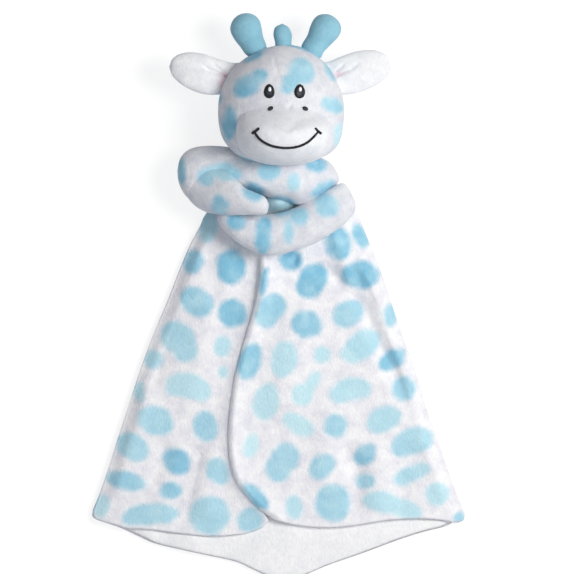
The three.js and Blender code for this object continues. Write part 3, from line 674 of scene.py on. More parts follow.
# %% Lenses of stitching
def stitched_lens(name, outline, surface, rise, under, material):
    """A filled shape: rings from its middle to its outline, lifted off the surface by rise * sqrt(1 - share^2) and a
    little more, and closed under mm below it. Its middle is stored for the thread's inner colour."""
    sides, rings, proud = 48, 9, 0.15
    edge = curve([*outline, outline[0]], sides + 1)[:-1]
    middle = edge.mean(0)
    share = np.sin(np.linspace(0, np.pi / 2, rings + 1))[1:]
    flat = middle + share[:, None, None] * (edge - middle)
    level = height_on(surface, flat.reshape(-1, 2), 2.2).reshape(rings, sides)
    top = level + proud + rise * np.sqrt(1 - share ** 2)[:, None]
    bottom = level - under
    grid = np.concatenate([
        np.concatenate([flat, top[..., None]], -1),
        np.concatenate([flat, bottom[..., None]], -1)[::-1]])
    centre_level = float(height_on(surface, middle[None], 2.2)[0])
    points = np.concatenate([[[*middle, centre_level + proud + rise]], grid.reshape(-1, 3),
                             [[*middle, centre_level - under]]])
    obj = make_piece(name, points, closed_rings(len(grid), sides), material)
    distance = np.linalg.norm(points[:, :2] - (middle - [0, 0.9]), axis=1)
    set_value(obj, "middle", 0.75 * smooth((2.6 - distance) / 1.6))
    return obj


def oval(x, y, wide, high, narrow=0.0, tilt=0.0, height=79):
    """An oval in picture pixels, height mm up: (wide cos t, high sin t), narrowed towards its top by that share, then
    tilted."""
    t = np.linspace(0, 2 * np.pi, 25)[:-1]
    u = wide * np.cos(t) * (1 - narrow * np.sin(t))
    v = -high * np.sin(t)
    turn = math.radians(tilt)
    return picked(np.stack([x + u * math.cos(turn) + v * math.sin(turn),
                            y - u * math.sin(turn) + v * math.cos(turn)], -1), height)


head_points, muzzle_points = front_of(head), front_of(muzzle)
EYES = (("left", 269.2, 270.4, 30), ("right", 299.7, 305.4, -25))
EYE_Y, NOSTRIL_Y = 91.2, 108.3
for side, x, nostril_x, lean in EYES:
    eye = stitched_lens(f"{side}_eye_stitching", oval(x, EYE_Y, 5.4, 7.2, 0.14), head_points, 1.0, 0.8, black_thread)
    glint = stitched_lens(f"{side}_eye_glint_stitching", oval(x + 0.6, EYE_Y - 2.0, 1.5, 2.3, 0.1),
                          front_of(eye, 0.0), 0.5, 0.2, white_thread)
    nostril = stitched_lens(f"{side}_nostril_stitching", oval(nostril_x, NOSTRIL_Y, 3.0, 2.1, 0, lean, 88),
                            muzzle_points, 0.7, 0.5, black_thread)
    for piece, node, slot in ((eye, f"{side}_eye", "black_thread"), (glint, f"{side}_eye_glint", "white_thread"),
                              (nostril, f"{side}_nostril", "black_thread")):
        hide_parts(node)
        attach(piece, "head")


# %% The smile
def cord_points(line, wide, high, sides):
    """An oval cord along a line of points: across it by the level normal of the line, and upright."""
    along = np.gradient(line, axis=0)
    along /= np.linalg.norm(along, axis=1, keepdims=True)
    across = np.stack([-along[:, 1], along[:, 0], np.zeros(len(line))], -1)
    across /= np.linalg.norm(across, axis=1, keepdims=True)
    turn = np.arange(sides) / sides * 2 * np.pi
    taper = np.sqrt(np.clip(1 - (np.abs(np.linspace(-1, 1, len(line))) ** 14), 0.02, 1))[:, None, None]
    ring = across[:, None, :] * np.cos(turn)[None, :, None] * wide * taper
    ring = ring + np.array([0, 0, 1.0]) * np.sin(turn)[None, :, None] * high * taper
    grid = line[:, None, :] + ring
    return np.concatenate([[line[0]], grid.reshape(-1, 3), [line[-1]]])


SMILE_SIDES, SMILE_HIGH, SMILE_LIFT = 12, 0.75, 0.6
SMILE = [(253.8, 130.2), (257, 136), (262.5, 141.3), (271, 145.6), (280, 147.5), (287.5, 147.9), (297, 146.8),
         (306, 143.2), (313, 137.5), (319.2, 130.4)]
CHEEKS = [[(251.6, 133.6), (255.6, 131.2), (259.3, 127.9)], [(314.8, 127.9), (318.2, 131.4), (321.8, 133.8)]]
strokes = []
for line, steps, wide in ((SMILE, 90, 1.0), (CHEEKS[0], 20, 1.1), (CHEEKS[1], 20, 1.1)):
    flat = curve(picked(line, 95), steps)
    on = np.concatenate([flat, height_on(muzzle_points, flat, 2.2)[:, None] + SMILE_LIFT], -1)
    strokes.append((cord_points(on, wide, SMILE_HIGH, SMILE_SIDES), closed_rings(steps, SMILE_SIDES)))
smile_points = np.concatenate([p for p, _ in strokes])
offsets = np.cumsum([0, *[len(p) for p, _ in strokes[:-1]]])
smile_faces = [f + offset for (_, faces), offset in zip(strokes, offsets) for f in faces]
smile = make_piece("mouth_stitching_thread", smile_points, smile_faces, black_thread)
set_value(smile, "middle", np.zeros(len(smile_points)))
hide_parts("mouth_stitching")
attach(smile, "head")

# %% [markdown]
# ## Ears, horns and tuft
# Each ear is two plies sewn along the rim and lightly padded, folded at its root, so the front has a hollow that runs
# out from the head. Horns and tuft are little stuffed tubes with round ends.

# %% Ears
EAR_TOPS = {
    "left": [(-27, 173.5), (-36.5, 174.6), (-46, 177.2), (-56.7, 181), (-67, 182.4), (-75.1, 181), (-80.6, 177.2)],
    "right": [(28, 173.5), (36.5, 175.4), (45, 178.8), (56, 182.8), (66, 184.2), (74.5, 183), (80.6, 179)],
}
EAR_BOTTOMS = {
    "left": [(-30, 154), (-39, 151.6), (-47.5, 150.6), (-56, 151), (-64.5, 153.4), (-73.5, 158.2), (-80.2, 164.4)],
    "right": [(31, 154), (40, 151.6), (47.5, 150.6), (55.5, 151.6), (63.8, 154), (73, 158.4), (80, 164.2)],
}
EAR_ENDS = {"left": [(-24, 163.5), (-82.9, 171.4)], "right": [(25, 163.5), (82.9, 172.4)]}
EAR_FOLDS = {"left": [picked([(232, 79), (226, 77), (217, 73), (208, 70), (200, 65)]),
                      picked([(229, 77.5), (222, 72), (215, 66), (211, 61)])],
             "right": [picked([(332, 78), (337, 75.5), (344, 72), (352, 68.5), (361.5, 62)]),
                       picked([(333, 75), (338, 70), (345, 64.5)])]}
# Pink patches along the crease at each ear's root: a painted warm reflection.
EAR_CREASE_PAINTED_REFLECTION = {"left": [(228, 77.5, 6.5, 2.2, -28, 0.0), (222, 84, 3, 6, 0, 1.0)],
             "right": [(336, 76.5, 6, 2.0, 32, 0.0)]}
EAR_FOLD_WIDTH, EAR_FOLD_DEPTHS = 1.1, (3.2, 1.8)
EAR_DEPTHS = [3.0, 3.8, 4.8, 5.6, 5.8, 4.8, 2.8]
EAR_LEVEL = HEAD_LEVEL
for side, way in (("left", -1), ("right", 1)):
    for ply, halves, material, slot in (("front", (1, -0.04), white_plush, "white_plush"),
                                        ("back", (-0.04, 1), spotted, "spotted_plush")):
        ear = stuffed_form(f"{side}_ear_{ply}_plush", EAR_ENDS[side], EAR_TOPS[side], EAR_BOTTOMS[side], EAR_DEPTHS,
                           [EAR_LEVEL] * len(EAR_DEPTHS), material, rings=90, sides=96, square=0.8, halves=halves)
        if ply == "front":
            for line, depth in zip(EAR_FOLDS[side], EAR_FOLD_DEPTHS):
                press(ear, line, EAR_FOLD_WIDTH, depth, above=EAR_LEVEL, fade=0.3)
            patches_on(ear, EAR_CREASE_PAINTED_REFLECTION[side])
        else:
            unseen_patches(ear, 11 + way, 14, 5.5, lambda p: p[:, 2] < EAR_LEVEL - 1.5)
        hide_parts(f"{side}_ear_{ply}")
        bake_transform(ear)

# %% Horns and tuft
HORNS = {
    "left_horn": ([(-17.5, 177), (-25, 212)],
                  [(-25, 180), (-29.2, 185.6), (-34.6, 192.6), (-37.4, 199.6), (-35.4, 206.4), (-30.6, 210.6)],
                  [(-9.8, 181.5), (-10.2, 187.6), (-12.6, 194.2), (-13.7, 200.8), (-15.4, 206.6), (-19.6, 210.6)]),
    "right_horn": ([(22, 177), (36.6, 211.3)],
                   [(16, 181.5), (16.2, 188), (20.4, 195), (22.4, 201.4), (25.2, 207.2), (29.6, 210.6)],
                   [(30, 177.5), (33, 182.8), (38.8, 188.6), (44, 194.3), (46, 200.4), (42.9, 207)]),
    "hair_tuft": ([(2.6, 181), (1.5, 203.9)],
                  [(-2.9, 184.5), (-3.7, 190), (-4.9, 195.6), (-3.6, 201)],
                  [(8.2, 184.5), (8.6, 190), (8.8, 195.8), (6.2, 201.2)]),
}
HORN_DEPTH_SHARE = 0.97
HORN_JOINTS = {"left_horn": "left_horn_bend", "right_horn": "right_horn_bend", "hair_tuft": "tuft_bend"}
for name, (ends, left, right) in HORNS.items():
    half = np.linalg.norm(np.subtract(right, left), axis=1) / 2
    horn = stuffed_form(f"{name}_plush", ends, left, right, half * HORN_DEPTH_SHARE, [HEAD_LEVEL] * len(left),
                        blue_plush, rings=44, sides=48, square=0.97)
    if name != "hair_tuft":
        fill(horn, 1.5, 0.35)
        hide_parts(f"{name}_cover", f"{name}_wadding")
    else:
        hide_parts(name)
    joint = joint_of(HORN_JOINTS[name])
    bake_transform(horn)

# %% [markdown]
# ## Neck, chest and arms
# A short neck joins the head to the chest. The chest and the left upper arm are one soft roll under the chin. It turns
# back on itself at the elbow, and the forearm lies over the end of the right arm, which comes down from the other side.

# %% Neck
neck = stuffed_form("neck_plush", [(0, 78), (0, 122)], [(-10, 80), (-12.6, 86), (-12.6, 98), (-12.4, 112), (-10, 120)],
                    [(10, 80), (12.6, 86), (12.6, 98), (12.4, 112), (10, 120)], [10, 12.6, 12.6, 12.4, 10], [35.0] * 5,
                    spotted_stuffed_painted_shade, rings=30, sides=48)
unseen_patches(neck, 5, 16, 6, lambda p: p[:, 2] > 0)
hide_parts("neck_wadding")
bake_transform(neck)

# %% Chest and left upper arm
ROLL_TOP = [(-75.3, 102), (-70.8, 108), (-64.3, 111.2), (-57.5, 112.2), (-50, 112.3), (-41, 111.5), (-31, 109.5),
            (-20, 108), (-8, 107), (6, 107), (20, 106), (31, 103.5), (38, 99.5), (42.6, 92.5)]
ROLL_BOTTOM = [(-75.5, 84), (-71, 75.6), (-65, 71.5), (-58.5, 75), (-52.5, 82), (-43, 84), (-31, 81),
               (-20, 77.4), (-9, 74.8), (4, 71.2), (15, 68), (27, 72.7), (37.5, 80), (43, 84)]
ROLL_DEPTHS = [8.5, 13.5, 16, 17.5, 18.5, 19.5, 21, 22.5, 23.2, 23.4, 22.5, 19.5, 14, 8]
ROLL_HEIGHTS = [27, 27, 27, 26.5, 26, 26, 27, 28, 28.5, 28.5, 28, 27, 26, 25]
roll = stuffed_form("chest_and_left_upper_arm_plush", [(-77, 93), (45, 88)], ROLL_TOP, ROLL_BOTTOM, ROLL_DEPTHS,
                    ROLL_HEIGHTS, spotted_stuffed_painted_shade, rings=110, sides=72, square=0.9)
fill(roll, 2.4, 0.9)
# A ridge over the arm's slot and two wrinkles, then the two shallow hollows that take the chin's corners when the head
# is turned.
for line, width, depth, above, fade in (
        (picked([(243, 183), (258, 187), (272, 193), (290, 200)]), 5.0, -1.5, 30, 0.3),
        (picked([(214, 164), (232, 163), (248, 168)]), 5.0, 1.6, 30, 0.4),
        (picked([(300, 172), (312, 180), (324, 183)]), 6.0, 1.4, 30, 0.4),
        ([(-38, 102), (-31, 103.5), (-25, 101.5), (-14, 99)], 5.5, 4.2, 31, 0.3),
        ([(15, 99), (24, 100), (33, 98)], 5.5, 2.6, 32, 0.35)):
    press(roll, line, width, depth, above, fade)
# Each row's paleness, here and in the chest's rows, is partly the print's own tone and partly painted light: lit
# patches are paler, shaded ones darker.
LEFT_ARM_PATCHES = [
    (181.5, 171.5, 5, 13.5, 3, 0.1, 30), (223.5, 172.5, 18, 9.5, -6, 0.4, 44), (207.5, 177.5, 9, 9.5, 20, 0.3, 42),
    (221, 204.5, 10.5, 11.5, 0, 0.2, 42), (253.5, 193.5, 10, 7.5, -25, 0.1, 56),
]
# The rows at (255, 190) and (284, 200.5) are dark blue patches on the chest's underside, in the gap over the forearm
# and the right arm: painted blue shade.
CHEST_PATCHES = [
    (269, 171.5, 12, 9.5, -5, 0.3, 50), (294, 182.8, 6, 8.5, 0, 0.6, 50), (317, 164.5, 11, 7.5, 8, 0.1, 45),
    (322, 189, 14, 7, 28, 0.1, 35), (255, 190, 10, 8, -30, 0.0, 38), (284, 200.5, 12, 6, -15, 0.0, 30),
]
patches_on(roll, LEFT_ARM_PATCHES[:3] + CHEST_PATCHES)
unseen_patches(roll, 3, 20, 9, lambda p: p[:, 2] < 20)
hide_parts("chest_cover", "chest_wadding", "left_upper_arm_cover", "left_upper_arm_wadding")
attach(roll, "torso")

# %% Left forearm
FOREARM_TOP = [(-72, 97), (-68, 99.5), (-60, 100), (-50, 99), (-40, 95), (-33, 88.5), (-27, 81.6), (-18.5, 77.4),
               (-11, 74)]
FOREARM_BOTTOM = [(-73, 80.5), (-69.5, 74), (-63.5, 67.3), (-55, 62.7), (-44, 60.7), (-33, 60.4), (-24, 60.8),
                  (-16, 60.4), (-9.9, 61.4)]
FOREARM_DEPTHS = [9, 12.5, 15.5, 16.5, 16, 13.6, 11.4, 9.6, 7.4]
FOREARM_HEIGHTS = [27, 27, 28, 32, 38.5, 44.5, 48.5, 51, 52]
forearm = stuffed_form("left_forearm_plush", [(-75, 89), (-8, 68)], FOREARM_TOP, FOREARM_BOTTOM, FOREARM_DEPTHS,
                       FOREARM_HEIGHTS, spotted_stuffed_painted_shade, rings=80, sides=64, square=0.92)
fill(forearm, 2.0, 0.7)
patches_on(forearm, LEFT_ARM_PATCHES)
unseen_patches(forearm, 21, 20, 8, lambda p: p[:, 2] < 22)
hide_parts("left_forearm_cover", "left_forearm_wadding")
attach(forearm, "left_forearm")

# %% Right arm
ARM_TOP = [(48.6, 84.4), (43, 83.6), (37, 80.8), (29.4, 76.6), (19.9, 71.4), (9.5, 66.4), (-2, 62.8), (-14, 62),
           (-26, 63.5), (-36, 65.5), (-43, 66)]
ARM_BOTTOM = [(57, 65.2), (53.6, 59.4), (47.2, 52.6), (38, 46.2), (28.4, 40.4), (15, 35), (0, 31), (-13, 30.6),
              (-25, 35.6), (-35.6, 42.6), (-45.4, 53)]
ARM_DEPTHS = [8, 11, 12.6, 13, 13, 13, 13, 12.6, 11.8, 10.2, 6.5]
arm = stuffed_form("right_arm_plush", [(55.6, 73.5), (-47.2, 61)], ARM_TOP, ARM_BOTTOM, ARM_DEPTHS,
                   [30.0] * len(ARM_DEPTHS), spotted_stuffed_painted_shade, rings=100, sides=64, square=0.85)
fill(arm, 2.4, 0.8)
# Each row's paleness is partly the print's own tone and partly painted light: lit patches are paler, shaded ones
# darker.
ARM_PATCHES = [
    (327, 205.5, 12.5, 11.5, -30, 0.3, 40), (299, 216.5, 9.5, 9, 0, 0.3, 42), (288.5, 231.5, 5, 11.5, 0, 0.4, 42),
    (263.7, 235.5, 8.3, 20, -3, 0.0, 42), (237, 221.5, 9.5, 8, 0, 0.0, 40), (284, 212.5, 9, 4, 10, 0.4, 42),
]
patches_on(arm, ARM_PATCHES)
unseen_patches(arm, 33, 20, 9, lambda p: p[:, 2] < 24)
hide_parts("right_arm_cover", "right_arm_wadding")
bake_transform(arm)

# %% [markdown]
# ## The blanket
# Every panel is a spotted outer ply and a white lining, sewn together and turned, so its rims are round. A panel is a
# patch between four border curves: the mean of what the two pairs of borders give, less what the corners count twice
# (a Coons patch). Its height is a soft relief of folds, and both faces close on the rim in a quarter round.


# %% Panels of cloth
def panel(outer, inner, top, hem, columns, rows):
    """Points of a Coons patch seen from above. outer and inner run down, top and hem run from outer to inner."""
    a = np.linspace(0, 1, columns)[None, :, None]
    b = np.linspace(0, 1, rows)[:, None, None]
    o, i = curve(outer, rows)[:, None, :], curve(inner, rows)[:, None, :]
    t, h = curve(top, columns)[None], curve(hem, columns)[None]
    ruled = (1 - a) * o + a * i + (1 - b) * t + b * h
    corners = (1 - b) * ((1 - a) * o[0] + a * i[0]) + b * ((1 - a) * o[-1] + a * i[-1])
    return ruled - corners


def rim_distance(grid, border):
    """Each grid point's distance from the nearest point of the border, seen from above."""
    flat = grid.reshape(-1, 2)
    least = np.full(len(flat), 1e9)
    for part in np.array_split(border, max(1, len(border) // 64)):
        least = np.minimum(least, ((flat[:, None, :] - part[None]) ** 2).sum(-1).min(1))
    return np.sqrt(least).reshape(grid.shape[:2])


def border_of(grid):
    return np.concatenate([grid[0], grid[-1], grid[:, 0], grid[:, -1]])


def cloth_panel(name, grid, low, thick, rim, material, power=2.0):
    """A closed cloth: its under face at low, its upper face thick above, both drawn together over rim mm at the edge
    by (1 - (1 - distance / rim)^power)^(1 / power): a half round at power 2, nearer a bevel below that. Each number
    may differ from place to place."""
    rows, columns = grid.shape[:2]
    distance = rim_distance(grid, border_of(grid))
    round_off = np.clip(1 - (1 - np.minimum(distance / rim, 1)) ** power, 0, 1) ** (1 / power)
    middle = low + thick / 2
    top = np.concatenate([grid, (middle + thick / 2 * round_off)[..., None]], -1)
    bottom = np.concatenate([grid, (middle - thick / 2 * round_off)[..., None]], -1)
    layer = np.arange(rows * columns).reshape(rows, columns)
    edge = np.zeros((rows, columns), bool)
    edge[0], edge[-1], edge[:, 0], edge[:, -1] = True, True, True, True
    below = np.where(edge, layer, 0)
    inner = np.flatnonzero(~edge.ravel())
    below.ravel()[inner] = rows * columns + np.arange(len(inner))
    points = np.concatenate([top.reshape(-1, 3), bottom.reshape(-1, 3)[inner]])

    def quads(index):
        return np.stack([index[:-1, :-1], index[:-1, 1:], index[1:, 1:], index[1:, :-1]], -1).reshape(-1, 4)

    return make_piece(name, points, [quads(layer), quads(below)[:, ::-1]], material)


def folds(grid, rows):
    """Relief of soft folds: each is height * exp(-(distance / width)^2), eased in and out along the first and last
    fifth of its line, and the folds add up."""
    flat = grid.reshape(-1, 2)
    total = np.zeros(len(flat))
    for line, width, height in rows:
        line = picked(line)
        steps = len(line) - 1
        share = np.zeros(len(flat))
        for k in range(steps):
            distance, along = to_line(flat, line[k], line[k + 1])
            place = (k + along) / steps
            ease = smooth(place * 5 + 0.1) * smooth((1 - place) * 5 + 0.1)
            share = np.maximum(share, np.exp(-(distance / width) ** 2) * ease)
        total += height * share
    return total.reshape(grid.shape[:2])


# %% Outlines of the blanket
LEFT_SIDE = [(-46.3, 72), (-56.2, 61), (-60.4, 52), (-68, 37.5), (-75.6, 19.5), (-84.3, -3), (-92.3, -22),
             (-99.8, -41), (-107.1, -61.5), (-114.3, -84), (-121.3, -105), (-127.8, -126), (-134.8, -146.5),
             (-139.9, -160)]
RIGHT_SIDE = [(46.7, 72), (57.7, 61), (62.7, 51), (68.1, 37.5), (75.3, 19.5), (83, -3), (89.3, -22), (95.7, -40),
              (102.7, -60), (108.7, -81), (116.1, -102), (123.7, -123.5), (131.1, -144), (139.3, -163)]
OPEN_EDGE = picked([(259.6, 250), (259.8, 263), (258.6, 281), (254.6, 304), (248, 327), (240.6, 351), (234.6, 375),
                    (230.6, 400), (228, 425), (228, 448), (230.4, 467), (236, 483), (247, 497.6), (259.6, 510),
                    (271.5, 518.2)])
LEFT_HEM = picked([(92.5, 512), (95.5, 519.6), (112, 524.6), (127, 528.8), (151, 530.2), (187, 534.8), (211, 536.6),
                   (235.4, 535.4), (250, 532.8), (263, 527.6), (269, 521)])
RIGHT_HEM = picked([(465, 514), (463.6, 520.6), (455, 523), (437.5, 520.2), (414.5, 519.2), (386.6, 521),
                    (352.7, 526.3), (330, 528), (312, 527.4), (296, 525.4), (282, 522.3), (271.5, 518.2)])
TUCK = 1.6
TOP_REACH = 81.0

# %% [markdown]
# The relief is in lines of soft folds: each row is a line in picture pixels, a width and a height in mm, below zero for
# a valley. The front's folds are used at FOLD_SHARE of their heights, where their shade is closest to the picture's.

# %% Relief of the front
LEAST_SEAT, LOW_SEAT, KNOT_RISE = 2.3, 4.6, 4.6
EDGE_RISE, KNOT_EXTRA = 3.6, 2.7
LIP, BESIDE_LIP = 4.4, 2.6
FOLD_SHARE = 0.7
HOLLOW = (0.0, 71.0)
PUFF = 20.0
PUFF_REACH = (15.0, 8.0)
LEFT_FOLDS = [
    ([(226, 240), (205, 330), (190, 420)], 14, 3.9),
    ([(206, 246), (214, 280), (216, 310)], 7, -3.4),
    ([(170, 300), (160, 350), (150, 400)], 9, -2.6),
    ([(150, 380), (130, 440), (112, 505)], 11, 3.4),
    ([(168, 440), (160, 466), (150, 490)], 7, -3.1),
    ([(200, 440), (192, 470), (184, 500), (178, 535)], 7.5, -3.9),
    ([(214, 440), (206, 490), (210, 525)], 9, 2.9),
]
RIGHT_FOLDS = [
    ([(348, 256), (366, 272), (383, 293), (394, 318), (404, 344), (413, 368), (420, 395), (426, 415)], 5.8, 6.6),
    ([(292, 264), (326, 270), (348, 289), (364, 309), (375, 334), (386, 356), (397, 380), (407, 407)], 5.8, -5.6),
    ([(330, 226), (338, 244), (344, 264), (349, 286), (352, 304)], 6.0, 5.2),
    ([(262, 256), (282, 257), (300, 262)], 6.0, -5.2),
    ([(300, 290), (290, 360), (285, 430)], 16, 3.9),
    ([(342, 440), (354, 468), (357, 484), (353, 520)], 6, -4.4),
    ([(335, 380), (325, 440), (322, 500)], 12, 2.9),
    ([(374, 440), (380, 480), (376, 515)], 9, 3.1),
    ([(405, 470), (402, 500), (400, 518)], 7, -2.1),
    ([(420, 430), (437, 470), (447, 505)], 9, 2.9),
]
HEM_WAVES = [
    ([(150, 526), (146, 550)], 9, 1.6),
    ([(190, 532), (186, 562)], 12, 2.0),
    ([(438, 518), (442, 536)], 9, 1.2),
    ([(200, 545), (210, 562)], 9, 0.7),
    ([(318, 540), (324, 556)], 6, -0.7),
    ([(262, 540), (268, 574)], 10, 0.6),
]


def by_knot(grid):
    """0 on the lower blanket and 1 near the arms."""
    return smooth((grid[..., 1] + 45) / 60)


def front_base(grid, rows, side, on_top):
    """How high the front's lining lies: a seat that rises from the hem to the knot, its folds, a drop to the back
    panel at the side seam, and a puff between the arms. At the open edge the upper panel rises over the lower one,
    which has a lip there and sinks a little beside it."""
    from_side = rim_distance(grid, curve(side, 300))
    from_open = rim_distance(grid, curve(OPEN_EDGE, 300))
    seat = LOW_SEAT + KNOT_RISE * smooth((grid[..., 1] + 160) / 190)
    relief = FOLD_SHARE * folds(grid, rows) * smooth(from_side / 14) * smooth(from_open / 10)
    drop = (LEAST_SEAT - seat) * (1 - smooth(from_side / 11))
    edge = ((EDGE_RISE + KNOT_EXTRA * by_knot(grid)) * np.exp(-(from_open / 12) ** 2) if on_top
            else LIP * np.exp(-from_open / 7) - BESIDE_LIP * np.exp(-(from_open / 30) ** 2))
    puff = PUFF * np.exp(-(((grid - HOLLOW) / PUFF_REACH) ** 2).sum(-1))
    return np.maximum(seat + relief + drop + edge + puff, LEAST_SEAT), from_open


# %% Back panel
BACK_LOW, BACK_THICK, BACK_RIM = 0.3, 2.1, 1.1
SIDE_RISE, SIDE_REACH = 1.3, 7
LINING_LOW, LINING_THICK, LINING_RIM = 2.55, 1.7, 0.9
LINING_INSET = 4.0
back_top = [(-38, 91), (-24, 94), (0, 94.5), (22, 94), (34, 91)]
BACK_LEFT = [(-38, 91), (-47, 77), *LEFT_SIDE[1:-1], (-140.8, -161)]
BACK_RIGHT = [(34, 91), (44, 77), *RIGHT_SIDE[1:-1], (138.4, -163)]
BACK_HEM = [(-140.8, -161), *picked([(94, 519), (119, 528), (138.5, 537), (156.6, 544.6), (195.4, 553.4), (233, 561.4),
            (250, 568.6), (268, 576.4), (285, 579), (304, 575.6), (328.5, 565.6), (364.8, 553), (401, 539.6),
            (425.4, 532), (448, 525.8)]), (138.4, -163)]
back_grid = panel(BACK_LEFT, BACK_RIGHT, back_top, BACK_HEM, 150, 190)
sides_of_back = np.concatenate([curve(BACK_LEFT, 300), curve(BACK_RIGHT, 300)])
rise = SIDE_RISE * (1 - smooth(rim_distance(back_grid, sides_of_back) / SIDE_REACH))
back = cloth_panel("back_outer_plush", back_grid, BACK_LOW + rise, BACK_THICK, BACK_RIM, spotted)
patches_on(back, [(254, 567, 24, 3, -30, 0.2)])
hem_line = curve(BACK_HEM, 200)
unseen_patches(back, 2, 27, 11.5,
               lambda p: (p[:, 2] < 1.6) & (rim_distance(p[:, None, :2], hem_line)[:, 0] > 13))
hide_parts("back_outer_cloth")
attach(back, "torso")

inset_left = np.asarray(BACK_LEFT) + [LINING_INSET, 0]
inset_right = np.asarray(BACK_RIGHT) - [LINING_INSET, 0]
lining_hem = np.asarray(BACK_HEM) * [0.975, 1] - [0, 0.3]
lining_hem[0], lining_hem[-1] = inset_left[-1], inset_right[-1]
lining_top = np.asarray(back_top, float)
lining_top[0], lining_top[-1] = inset_left[0], inset_right[0]
lining_grid = panel(inset_left, inset_right, lining_top, lining_hem, 110, 150)
back_lining = cloth_panel("back_lining_plush", lining_grid, LINING_LOW + folds(lining_grid, HEM_WAVES), LINING_THICK,
                          LINING_RIM, lining_plush)
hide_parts("back_lining")
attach(back_lining, "torso")

# %% [markdown]
# Each front panel is creased along a straight line from the knot to its corner. What lies outside the crease stays on
# the back, and what lies inside opens as a flap. Here each ply of a panel is made in one piece, as it lies.

# %% Front panels
# Paleness is partly the print's own tone and partly painted light: patches in the brightly lit middle of the skirt are
# paler and those in the shade under the arms darker, and the patch at (208, 226.5), in the shadow beside the elbow, is
# painted paler still.
LEFT_PATCHES = [
    (243, 215, 11, 9, 20, 0.2), (240, 237, 7, 6, -30, 0.3), (251, 196, 8, 7, 0, 0.1), (208, 226.5, 9.5, 17, -10, 0.6),
    (193, 261.8, 10, 12.5, -20, 0.0), (231.4, 266.6, 14.8, 17.8, 0, 0.0), (196.6, 301.8, 17.5, 14, -32, 0.3),
    (232.8, 313.4, 14.5, 14.2, 20, 0.1), (178, 338, 19, 16, -40, 0.5), (185, 350, 12, 12, 0, 0.6),
    (222.7, 346.6, 9, 10.5, 0, 0.7), (154, 360, 9, 9.5, 0, 0.6), (223.5, 372, 5, 6, 0, 0.8),
    (188.3, 388.4, 23, 15.5, -14, 0.8, None, 0.35), (139, 392, 5.5, 10, 0, 0.7), (155.4, 420.7, 19, 14.5, -22, 0.5),
    (205.7, 426.8, 12, 15.5, 12, 0.4), (132.4, 447, 17.6, 13, -35, 0.5), (176.6, 462, 14.5, 12.5, -45, 0.1),
    (218, 471.6, 11.5, 14, 30, 0.5), (126, 481, 20, 9.5, -14, 0.3), (170.6, 491, 11, 8.5, 10, 0.2),
    (101, 506, 8.5, 12, 0, 0.8), (150, 516, 28, 12, 6, 0.5, None, 0.25), (209.3, 516, 20.5, 19.5, 0, 0.5),
    (250, 520, 13, 11.5, 20, 0.5),
]
# The first row, a large pale patch at (280, 200), fills the hollow between the arms with painted blue light.
RIGHT_PATCHES = [
    (280, 200, 24, 14, 0, 0.8), (279, 233, 10, 9, 0, 0.2), (304, 218, 9, 10, 20, 0.1), (323, 205, 9, 8, 0, 0.4),
    (303, 238, 7, 5, 30, 0.3), (338.5, 243.6, 13.5, 17, 10, 0.0), (360.5, 236, 8, 13, 25, 0.1),
    (290.9, 260, 11.5, 10.5, 0, 0.0), (313.5, 279, 14, 16.5, -30, 0.0), (309, 286, 13, 12, 0, 0.1),
    (360.5, 275, 19, 14, 5, 0.0), (263.8, 282.4, 4, 14, -8, 0.0), (347.9, 314, 16, 12.5, 32, 0.4),
    (391, 315, 7.5, 11, 0, 0.4), (306.7, 324, 15.5, 13.5, -15, 0.2), (272, 308, 13.5, 15, -38, 0.3),
    (266, 318, 12, 10, 0, 0.4), (361.6, 345.6, 21, 13.8, 38, 0.6), (352, 354, 12, 10, 0, 0.8),
    (322.4, 355, 8.5, 8.5, 0, 0.8), (284, 359, 13, 18.5, -10, 0.8), (392.3, 360, 15, 9.5, 36, 0.1),
    (249.5, 361.6, 11.5, 19, -14, 0.2), (303, 394.6, 11, 11, 0, 0.9), (311, 383.4, 6.5, 14, -34, 0.9),
    (266, 402.6, 13, 19, -14, 0.8), (350.3, 391.6, 21.5, 13, 12, 0.7, None, 0.3), (404, 389, 12, 12.5, 0, 0.4),
    (298.8, 425, 17.5, 9.5, -33, 0.9), (335.9, 426.2, 12.3, 11.6, 35, 0.4), (383.8, 419.6, 18, 12.3, 25, 0.6),
    (250.4, 446, 7.5, 12.5, -18, 1.0), (411.8, 442.4, 22, 14, 22, 0.5, None, 0.15), (285.8, 457.4, 14, 14.6, 0, 0.42),
    (279, 469, 13, 13, 0, 0.5), (322, 466.8, 14.2, 11, 38, 0.4), (365, 454.4, 12.3, 9.6, 38, 0.2),
    (365.9, 481.4, 10, 8, 0, 0.4), (411.4, 474.2, 20, 8.5, 22, 0.6), (256, 496.5, 17, 8, -45, 0.1),
    (294.5, 507.6, 8.3, 12.5, 0, 0.7), (333.3, 502.9, 17.6, 19.2, 0, 0.4), (385, 503, 23, 10.5, -14, 0.7),
    (404, 509, 18, 9, -20, 0.8), (437.4, 493.8, 12, 11.5, 0, 0.8), (460, 517.5, 6.5, 5, 0, 0.4),
]
left_open = np.concatenate([[(-17, 73), (-16.5, 52)], OPEN_EDGE + [TUCK, 0]])
left_open[-1] = LEFT_HEM[-1]
right_open = np.concatenate([[(-15, 73), (-14.6, 52)], OPEN_EDGE])
LEFT_TOP = [LEFT_SIDE[0], (-34, TOP_REACH), tuple(left_open[0])]
RIGHT_TOP = [RIGHT_SIDE[0], (30, TOP_REACH), (12, TOP_REACH), tuple(right_open[0])]
FRONTS = [
    ("left", LEFT_SIDE, left_open, LEFT_TOP, LEFT_HEM, LEFT_FOLDS, False, LEFT_PATCHES),
    ("right", RIGHT_SIDE, right_open, RIGHT_TOP, RIGHT_HEM, RIGHT_FOLDS, True, RIGHT_PATCHES),
]
